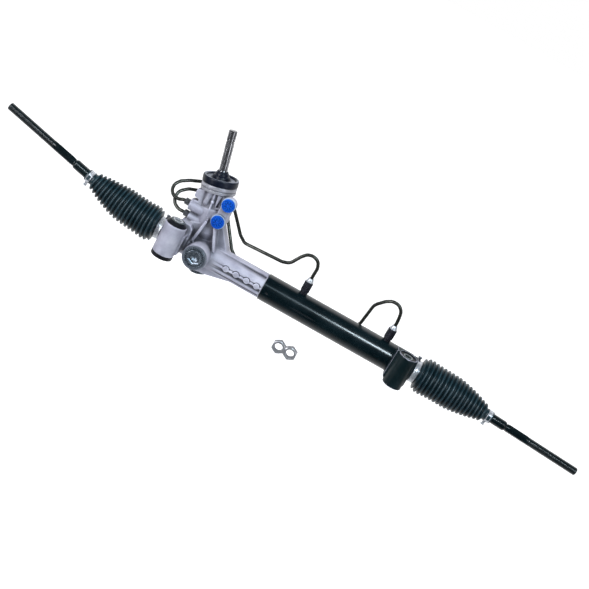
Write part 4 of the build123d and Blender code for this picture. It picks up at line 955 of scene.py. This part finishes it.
# ---------------------------------------------------------------- tie rods
# Forged steel rods painted black, with a ball at the inner end, a hexagon for
# a spanner and a rolled thread at the outer end.

SIDES = {"left": -1.0, "right": 1.0}
BALL_X = {"left": -316.0, "right": 316.0}
SWING_UP = {"left": math.radians(13.1), "right": math.radians(-3.6)}
BALL_R = 11.0
ROD_FLATS = 13.2
ROD_HEXAGON = (117.4, 162.6)
ROD_THREAD = (163.3, 260.4)
ROD_END = 261.5
THREAD_PITCH = 2.0
THREAD_DEPTH = 0.5
ROD_PROFILE = np.array([
    (8.8, 6.6), (9.2, 6.5), (32.0, 6.5), (34.0, 6.9), (38.0, 8.1), (40.0, 8.5), (114.0, 8.5), (116.0, 7.6),
    (117.4, 6.3), (119.0, 6.3), (119.4, 7.0), (121.0, 7.62), (161.0, 7.62), (162.4, 6.9), (163.4, 7.0),
    (260.3, 7.0), (ROD_END, 5.8),
])


def rod_axes(side):
    """The place of a tie rod: its ball's centre, and its line swung up from the rack."""
    along = (SIDES[side] * math.cos(SWING_UP[side]), 0.0, math.sin(SWING_UP[side]))
    return axes((BALL_X[side], 0.0, 0.0), along)


def rod_points(side, columns=60):
    """A tie rod as radius over height and turn.

    The ball's radius is the root of its own squared less the height squared,
    and the bar's comes from its profile. Between the shoulders it is the
    smaller of the bar and a hexagon, whose radius is half its flats over the
    cosine of the angle from the nearest flat's middle. On the threaded end it
    falls below the crest by the depth times the distance from the nearest turn.
    """
    height = np.concatenate([
        np.linspace(-10.99, 8.8, 24), np.linspace(9.2, 31.5, 6), np.linspace(32, 40, 9),
        [40.4, 50.0, 70.0, 90.0, 110.0], np.linspace(113.5, 119.0, 12), np.linspace(119.4, 162.0, 12),
        [162.4, 162.9, 163.2], np.arange(163.4, 260.0, THREAD_PITCH / 8), [260.3, 260.9, ROD_END - 0.01],
    ])
    ball = np.sqrt(np.maximum(BALL_R**2 - height**2, 0))
    bar = np.where(height < ROD_PROFILE[0, 0], ball, np.interp(height, *ROD_PROFILE.T))[:, None]
    hexagon = hexagon_radius(ROD_FLATS, columns)[None, :]
    flats = ((height > ROD_HEXAGON[0]) & (height < ROD_HEXAGON[1]))[:, None]
    radius = np.where(flats, np.minimum(bar, hexagon), bar + 0 * hexagon)
    phase = np.mod(height[:, None] / THREAD_PITCH - round_turn(columns)[None, :] / (2 * np.pi), 1.0)
    valley = np.clip((1 - np.abs(2 * phase - 1)) * 1.25 - 0.15, 0, 1) * (height > ROD_THREAD[0])[:, None]
    run_in = np.clip((height - ROD_THREAD[0]) / 3, 0, 1)[:, None]
    run_out = np.clip((ROD_THREAD[1] - height) / 1.5, 0, 1)[:, None]
    radius = radius - THREAD_DEPTH * run_in * run_out * valley
    radius = np.concatenate([0 * radius[:1], radius, 0 * radius[:1]])
    return swept(rod_axes(side), radius, np.concatenate([[-BALL_R], height, [ROD_END]]), columns)


rod_paint = paint("black_rod_paint", (0.0015, 0.0045, 0.006), (0.14, 0.22), 0.8)
for side in SIDES:
    rod = side + "_tie_rod"
    shaped(rod + "_bar", [rod_points(side)], rod_paint, rod, rod, 50.0)

# ---------------------------------------------------------------- boots
# Blow-moulded rubber boots with deep folds, a large cuff on the housing and a
# small one on the tie rod. The large cuff stays with the housing and the small
# one follows the rod.

CUFF_WALL = 2.1
CUFF_LENGTH = 12.0
BELLOWS_START = HOUSING_END - 2.0
SMALL_CUFF = 13.0
SMALL_R = 8.65
SMALL_WALL = 2.0
BOOT_FOLDS = 17
ROWS_PER_FOLD = 14
FOLD_DEPTH = 4.8
BOOT_WALL = 1.2
RIDES_ON_ROD = 4.0
CLAMP_REACH = 82.0
CREST_SHARE = np.array([0.0, 0.045, 0.1, 0.2, 0.5, 0.6, 0.72, 0.82, 0.9, 1.0])
CREST_D = np.array([54.0, 62.0, 65.5, 62.5, 61.5, 58.0, 51.5, 45.0, 38.0, 31.0])


def bellows_end(side):
    """Where a boot's bellows end on its rod, and the rod's direction."""
    origin, _, _, along = rod_axes(side)
    return origin + along * (CLAMP_REACH - SMALL_CUFF / 2), along


def boot_line(side, share):
    """Centre and slope of a boot: a cubic curve square to the housing and in line with the rod."""
    way = SIDES[side]
    start = np.array([way * BELLOWS_START, 0.0, 0.0])
    end, along = bellows_end(side)
    pull = np.linalg.norm(end - start) / 3
    first = start + np.array([way, 0.0, 0.0]) * pull
    second = end - along * pull
    u = share[:, None]
    v = 1 - u
    point = start * v**3 + first * (3 * v * v * u) + second * (3 * v * u * u) + end * u**3
    slope = (first - start) * (3 * v * v) + (second - first) * (6 * v * u) + (end - second) * (3 * u * u)
    return point, slope / np.linalg.norm(slope, axis=1, keepdims=True)


def boot_points(side):
    """The boot's outer skin out to the rod and its inner skin back, as one loop of rings.

    On the bellows the radius is the crest's, less the fold's depth times a
    raised cosine to the power 1.5, which leaves broad ribs and narrow valleys.
    The inner skin lies one wall below it.
    """
    way = SIDES[side]
    share = np.linspace(0.014, 0.986, BOOT_FOLDS * ROWS_PER_FOLD + 1)
    period = (share - 0.5 / (2 * BOOT_FOLDS + 2)) * (BOOT_FOLDS + 1)
    wave = 0.5 - 0.5 * np.cos(2 * np.pi * period)
    outer_r = np.interp(share, CREST_SHARE, CREST_D) / 2 - FOLD_DEPTH * wave**1.5
    cuff_x = np.array([-CUFF_LENGTH, 0.4 - CUFF_LENGTH, -0.6, 0.0])
    cuff_r = NECK_R + CUFF_WALL - np.array([0.4, 0.0, 0.0, 0.0])
    cuff_point = np.stack([way * (BELLOWS_START + cuff_x), 0 * cuff_x, 0 * cuff_x], axis=1)
    cuff_slope = np.repeat([[way, 0.0, 0.0]], 4, axis=0)
    point, slope = boot_line(side, share)
    tip, tip_slope = boot_line(side, np.array([1.0]))
    small_h = np.array([0.0, 0.6, SMALL_CUFF - 0.4, SMALL_CUFF])
    small_r = SMALL_R + SMALL_WALL - np.array([0.0, 0.0, 0.0, 0.4])
    centre = np.concatenate([cuff_point, point, tip + tip_slope * small_h[:, None]])
    line = np.concatenate([cuff_slope, slope, np.repeat(tip_slope, 4, axis=0)])
    outer = np.concatenate([cuff_r, outer_r, small_r])
    inner = np.concatenate([NECK_R + 0 * cuff_r, outer_r - BOOT_WALL, SMALL_R + 0 * small_r])
    centre = np.concatenate([centre, centre[::-1]])
    line = np.concatenate([line, line[::-1]])
    radius = np.concatenate([outer, inner[::-1]])
    level = np.array([0.0, 1.0, 0.0])
    over = np.cross(line, level)
    turn = round_turn(96)
    spoke = np.cos(turn)[None, :, None] * level + np.sin(turn)[None, :, None] * over[:, None, :]
    return centre[:, None, :] + radius[:, None, None] * spoke


boot_skin = rubber("boot_rubber", (0.0055, 0.0195, 0.027), 0.36, gloss=0.65)
for side, way in SIDES.items():
    boot = shaped(side + "_bellows", [boot_points(side)], boot_skin, side + "_boot",
                  sharp=60.0, loop=True)
    end, _ = bellows_end(side)
    stretch = way * end[0] - BELLOWS_START - RIDES_ON_ROD
    pull = np.clip((way * points_of(boot.data)[:, 0] - BELLOWS_START) / stretch, 0, 1)
    group = boot.vertex_groups.new(name="follow_rod")
    for percent in range(1, 101):
        chosen = np.nonzero(np.round(pull * 100).astype(int) == percent)[0]
        if len(chosen):
            group.add(chosen.tolist(), percent / 100, "REPLACE")
    hook = boot.modifiers.new("follow_rod", "HOOK")
    hook.object = frame["bodies"][side + "_tie_rod"]
    hook.vertex_group = "follow_rod"
    hook.falloff_type = "NONE"

# ---------------------------------------------------------------- boot clamps
# Plated steel bands with rolled edges round both cuffs of each boot, each
# drawn tight by a crimped ear; the small one has a dark window in its band.

BAND = 0.8
LARGE_CLAMP_R = NECK_R + CUFF_WALL
LARGE_CLAMP_WIDTH = 9.0
SMALL_CLAMP_R = 10.8
SMALL_CLAMP_WIDTH = 8.0
EAR_ROOT = BAND - 0.5
EAR_HEIGHT = 8.0
EAR_THICKNESS = 4.0
EAR_SHIFT = 4.0
WINDOW_WIDTH = 5.0
WINDOW_LENGTH = 9.0
WINDOW_SUNK = 1.5
WINDOW_PROUD = 0.35


def band_points(place, inner, middle, width, columns=128):
    """A band as a loop across its width: thin in the middle, with a rolled bead along each edge."""
    outer = inner + BAND
    half = width / 2
    profile = np.array([
        (inner, -half + 0.2), (outer - 0.3, -half), (outer, -half + 0.35), (outer, -half + 1.1),
        (outer - 0.45, -half + 1.7), (outer - 0.5, -1.0), (outer - 0.5, 1.0), (outer - 0.45, half - 1.7),
        (outer, half - 1.1), (outer, half - 0.35), (outer - 0.3, half), (inner, half - 0.2),
    ])
    return revolved(place, profile + np.array([0.0, middle]), columns)


def ear_points(place, width, thickness, low, high, columns=48):
    """A crimped ear: a box of rounded section that swells at its root and again near its rounded top.

    The section is a superellipse of power six in the turn. Its size follows
    the height, and a groove runs round it at half height.
    """
    turn = round_turn(columns)
    c, s = np.abs(np.cos(turn)) / (width / 2), np.abs(np.sin(turn)) / (thickness / 2)
    section = (c**6 + s**6) ** (-1 / 6)
    size = np.array([0.0, 1.0, 0.9, 0.84, 0.74, 0.74, 0.86, 1.0, 0.98, 0.88, 0.7, 0.0])
    share = np.array([0.0, 0.0, 0.12, 0.3, 0.45, 0.55, 0.65, 0.8, 0.9, 0.96, 0.99, 1.0])
    return swept(place, size[:, None] * section[None, :], low + (high - low) * share, columns)


ear_metal = plated("crimped_zinc", (0.07, 0.075, 0.085), (0.26, 0.26, 0.28), (0.24, 0.4), 240.0, 0.8)
for side, way in SIDES.items():
    large, small, rod = side + "_large_clamp", side + "_small_clamp", side + "_tie_rod"
    middle = way * (BELLOWS_START - CUFF_LENGTH / 2)
    band = band_points(ALONG_RACK, LARGE_CLAMP_R, middle, LARGE_CLAMP_WIDTH)
    shaped(side + "_band", [band], zinc, large, loop=True)
    top = axes((middle - way * EAR_SHIFT, 0.0, 0.0), UP, RIGHT)
    low = LARGE_CLAMP_R + EAR_ROOT
    ear = ear_points(top, LARGE_CLAMP_WIDTH - 2, EAR_THICKNESS, low, low + EAR_HEIGHT)
    shaped(side + "_band_ear", [ear], ear_metal, large)
    band = band_points(rod_axes(side), SMALL_CLAMP_R, CLAMP_REACH, SMALL_CLAMP_WIDTH)
    shaped(side + "_small_band", [band], zinc, small, rod, loop=True)
    origin, _, _, along = rod_axes(side)
    on_rod = origin + along * CLAMP_REACH
    foot = axes(on_rod, np.cross(along, (0.0, 1.0, 0.0)) * -way, along)
    low = SMALL_CLAMP_R + EAR_ROOT
    ear = ear_points(foot, SMALL_CLAMP_WIDTH - 2, EAR_THICKNESS, low, low + EAR_HEIGHT)
    shaped(side + "_small_ear", [ear], zinc, small, rod)
    facing = axes(on_rod, (0.0, -1.0, 0.05), along)
    skin = SMALL_CLAMP_R + BAND
    window = ear_points(facing, WINDOW_WIDTH, WINDOW_LENGTH, skin - WINDOW_SUNK, skin + WINDOW_PROUD)
    shaped(side + "_small_window", [window], boot_skin, small, rod)

# ---------------------------------------------------------------- loose nuts
# The two lock nuts for the tie rod threads, zinc plated, with rolled threads
# and turned-off corners.

NUT_FLATS = 21.0
NUT_FRONT = (100.0, 109.0)
NUT_BORE_R = 7.0
NUT_THREAD = 0.45
NUT_X = (36.0 - 10.575, 36.0 + 10.575)
NUT_Z = -39.9

nut_zinc = plated("nut_zinc", (0.34, 0.34, 0.36), (0.52, 0.52, 0.55), (0.24, 0.4), 150.0, 0.7)
loose = [
    nut_points(axes((x, 0.0, NUT_Z), FRONT, RIGHT), NUT_FLATS, *NUT_FRONT, NUT_BORE_R, 96, NUT_THREAD)
    for x in NUT_X
]
shaped("lock_nuts", loose, nut_zinc, "tie_rod_nuts", sharp=30.0, loop=True)

# ---------------------------------------------------------------- studio
# Pale floor well below the gear, a soft overhead lamp, an upright lamp at each
# side, three strip lamps in front that draw the lines along the cylinder and
# the rods, and a camera. All of the lamps are cool.

TARGET = np.array([0.0061, 0.042, 0.0432])
CAMERA_RISE = math.radians(20.0)
CAMERA_DISTANCE = 1.7
RACK_SLOPE = math.radians(29.4)
SENSOR = 36.0
LENS = 60.76
FLOOR_Z = -0.26
FLOOR_REACH = 30
FLOOR_TONE = 0.9
STRIP_Y = -1.13
STRIP_Z = 0.97
COOL = (0.96, 0.965, 1.0)
COLD = (0.78, 0.92, 1.0)
COLDEST = (0.6, 0.86, 1.0)
WHITE = (1.0, 1.0, 1.0, 1.0)
AIR_LIGHT = 0.31
AIR_MIRRORED_IN_FRONT = 0.025


def lamp(name, place, aim, size, watts, glossy=True, tint=COOL):
    """A rectangular lamp at a place, turned to face the point it is aimed at."""
    data = bpy.data.lights.new(name, "AREA")
    data.shape = "RECTANGLE"
    data.size, data.size_y = size
    data.energy = watts
    data.color = tint
    light = bpy.data.objects.new(name, data)
    light.location = place
    facing = Vector(aim) - Vector(place)
    light.rotation_mode = "QUATERNION"
    light.rotation_quaternion = facing.to_track_quat("-Z", "Y")
    light.visible_glossy = glossy
    bpy.context.scene.collection.objects.link(light)


lamp("overhead", (-0.25, -0.1, 1.6), (0.0, 0.04, 0.03), (1.0, 0.8), 22.5, glossy=False)
lamp("strip", (0.50, STRIP_Y, STRIP_Z), (0.4, 0.04, 0.03), (0.62, 0.2), 11.0, tint=COLD)
lamp("strip_left", (0.0, STRIP_Y, STRIP_Z), (0.0, 0.04, 0.03), (0.5, 0.13), 0.5, tint=COLDEST)
lamp("strip_far_left", (-0.52, STRIP_Y, STRIP_Z), (-0.42, 0.04, 0.06), (0.3, 0.13), 2.5, tint=COLD)
lamp("left", (-1.25, -1.15, 0.35), (-0.2, 0.04, 0.05), (0.5, 1.4), 17.0)
lamp("right", (1.35, -1.1, 0.35), (0.1, 0.04, 0.05), (0.5, 1.4), 5.0)

# The floor is white to the camera away from the gear, keeps the gear's shadow
# near it, and in mirrored rays it is white behind the gear and dark in front.
corners = [(-1, -1), (1, -1), (1, 1), (-1, 1)]
floor_mesh = bpy.data.meshes.new("floor")
floor_mesh.from_pydata([(x * FLOOR_REACH, y * FLOOR_REACH, FLOOR_Z) for x, y in corners], [], [(0, 1, 2, 3)])
floor = bpy.data.objects.new("floor", floor_mesh)
bpy.context.scene.collection.objects.link(floor)
floor_paint, floor_tree, floor_shader, floor_where = finish("floor_paint")
floor_shader.inputs["Roughness"].default_value = 0.9
floor_shader.inputs["Specular IOR Level"].default_value = 0.0
floor_shader.inputs["Emission Color"].default_value = WHITE
floor_path = floor_tree.nodes.new("ShaderNodeLightPath")
in_mirror = floor_path.outputs["Is Glossy Ray"]
floor_tone = arithmetic(floor_tree, "MULTIPLY_ADD", in_mirror, -FLOOR_TONE, FLOOR_TONE)
floor_tree.links.new(floor_tone, floor_shader.inputs["Base Color"])
far_away = vector_step(floor_tree, "LENGTH", floor_where)
seen_glow = span(floor_tree, far_away, 0.45, 1.0, start=0.7, stop=3.0, smooth=True)
seen_floor = arithmetic(floor_tree, "MULTIPLY", floor_path.outputs["Is Camera Ray"], seen_glow)
floor_parted = floor_tree.nodes.new("ShaderNodeSeparateXYZ")
floor_tree.links.new(floor_where, floor_parted.inputs["Vector"])
mirror_glow = span(floor_tree, floor_parted.outputs["Y"], 0.0, 0.95, start=-0.3, stop=0.25, smooth=True)
floor_glow = arithmetic(floor_tree, "MULTIPLY_ADD", in_mirror, mirror_glow, seen_floor)
floor_tree.links.new(floor_glow, floor_shader.inputs["Emission Strength"])
dress(floor, floor_paint)

# The air is white to the camera, and in mirrored rays it is white behind the
# gear and nearly black in front of it. Otherwise it is a dim even light.
world = bpy.data.worlds.new("studio")
world.use_nodes = True
bpy.context.scene.world = world
air = world.node_tree
air.nodes.clear()


def glow(strength):
    """A plain white light of the air, at a strength or by a link."""
    light = air.nodes.new("ShaderNodeBackground")
    light.inputs["Color"].default_value = WHITE
    feed(air, strength, light.inputs["Strength"])
    return light.outputs["Background"]


def chosen_glow(factor, first, second):
    """The first light where the factor is 0, and the second where it is 1."""
    mix = air.nodes.new("ShaderNodeMixShader")
    air.links.new(factor, mix.inputs["Fac"])
    air.links.new(first, mix.inputs[1])
    air.links.new(second, mix.inputs[2])
    return mix.outputs["Shader"]


seen = air.nodes.new("ShaderNodeLightPath")
mirrored = arithmetic(air, "MAXIMUM", seen.outputs["Is Glossy Ray"], seen.outputs["Is Transmission Ray"])
parted = air.nodes.new("ShaderNodeSeparateXYZ")
air.links.new(air.nodes.new("ShaderNodeTexCoord").outputs["Generated"], parted.inputs["Vector"])
behind = span(air, parted.outputs["Y"], AIR_MIRRORED_IN_FRONT, 1.0, start=0.2, stop=0.75, smooth=True)
lit = chosen_glow(mirrored, glow(AIR_LIGHT), glow(behind))
air_out = air.nodes.new("ShaderNodeOutputWorld")
air.links.new(chosen_glow(seen.outputs["Is Camera Ray"], lit, glow(1.0)), air_out.inputs["Surface"])

back = np.array([0.0, -math.cos(CAMERA_RISE), math.sin(CAMERA_RISE)])
level_right = np.array([1.0, 0.0, 0.0])
level_up = np.array([0.0, math.sin(CAMERA_RISE), math.cos(CAMERA_RISE)])
picture_right = math.cos(RACK_SLOPE) * level_right + math.sin(RACK_SLOPE) * level_up
picture_up = -math.sin(RACK_SLOPE) * level_right + math.cos(RACK_SLOPE) * level_up
lens = bpy.data.cameras.new("camera")
lens.sensor_width = SENSOR
lens.lens = LENS
camera = bpy.data.objects.new("camera", lens)
stand = np.stack([picture_right, picture_up, back, TARGET + back * CAMERA_DISTANCE], axis=1)
camera.matrix_world = Matrix((*stand.tolist(), (0.0, 0.0, 0.0, 1.0)))
bpy.context.scene.collection.objects.link(camera)
bpy.context.scene.camera = camera
bpy.context.scene.view_settings.view_transform = "Standard"
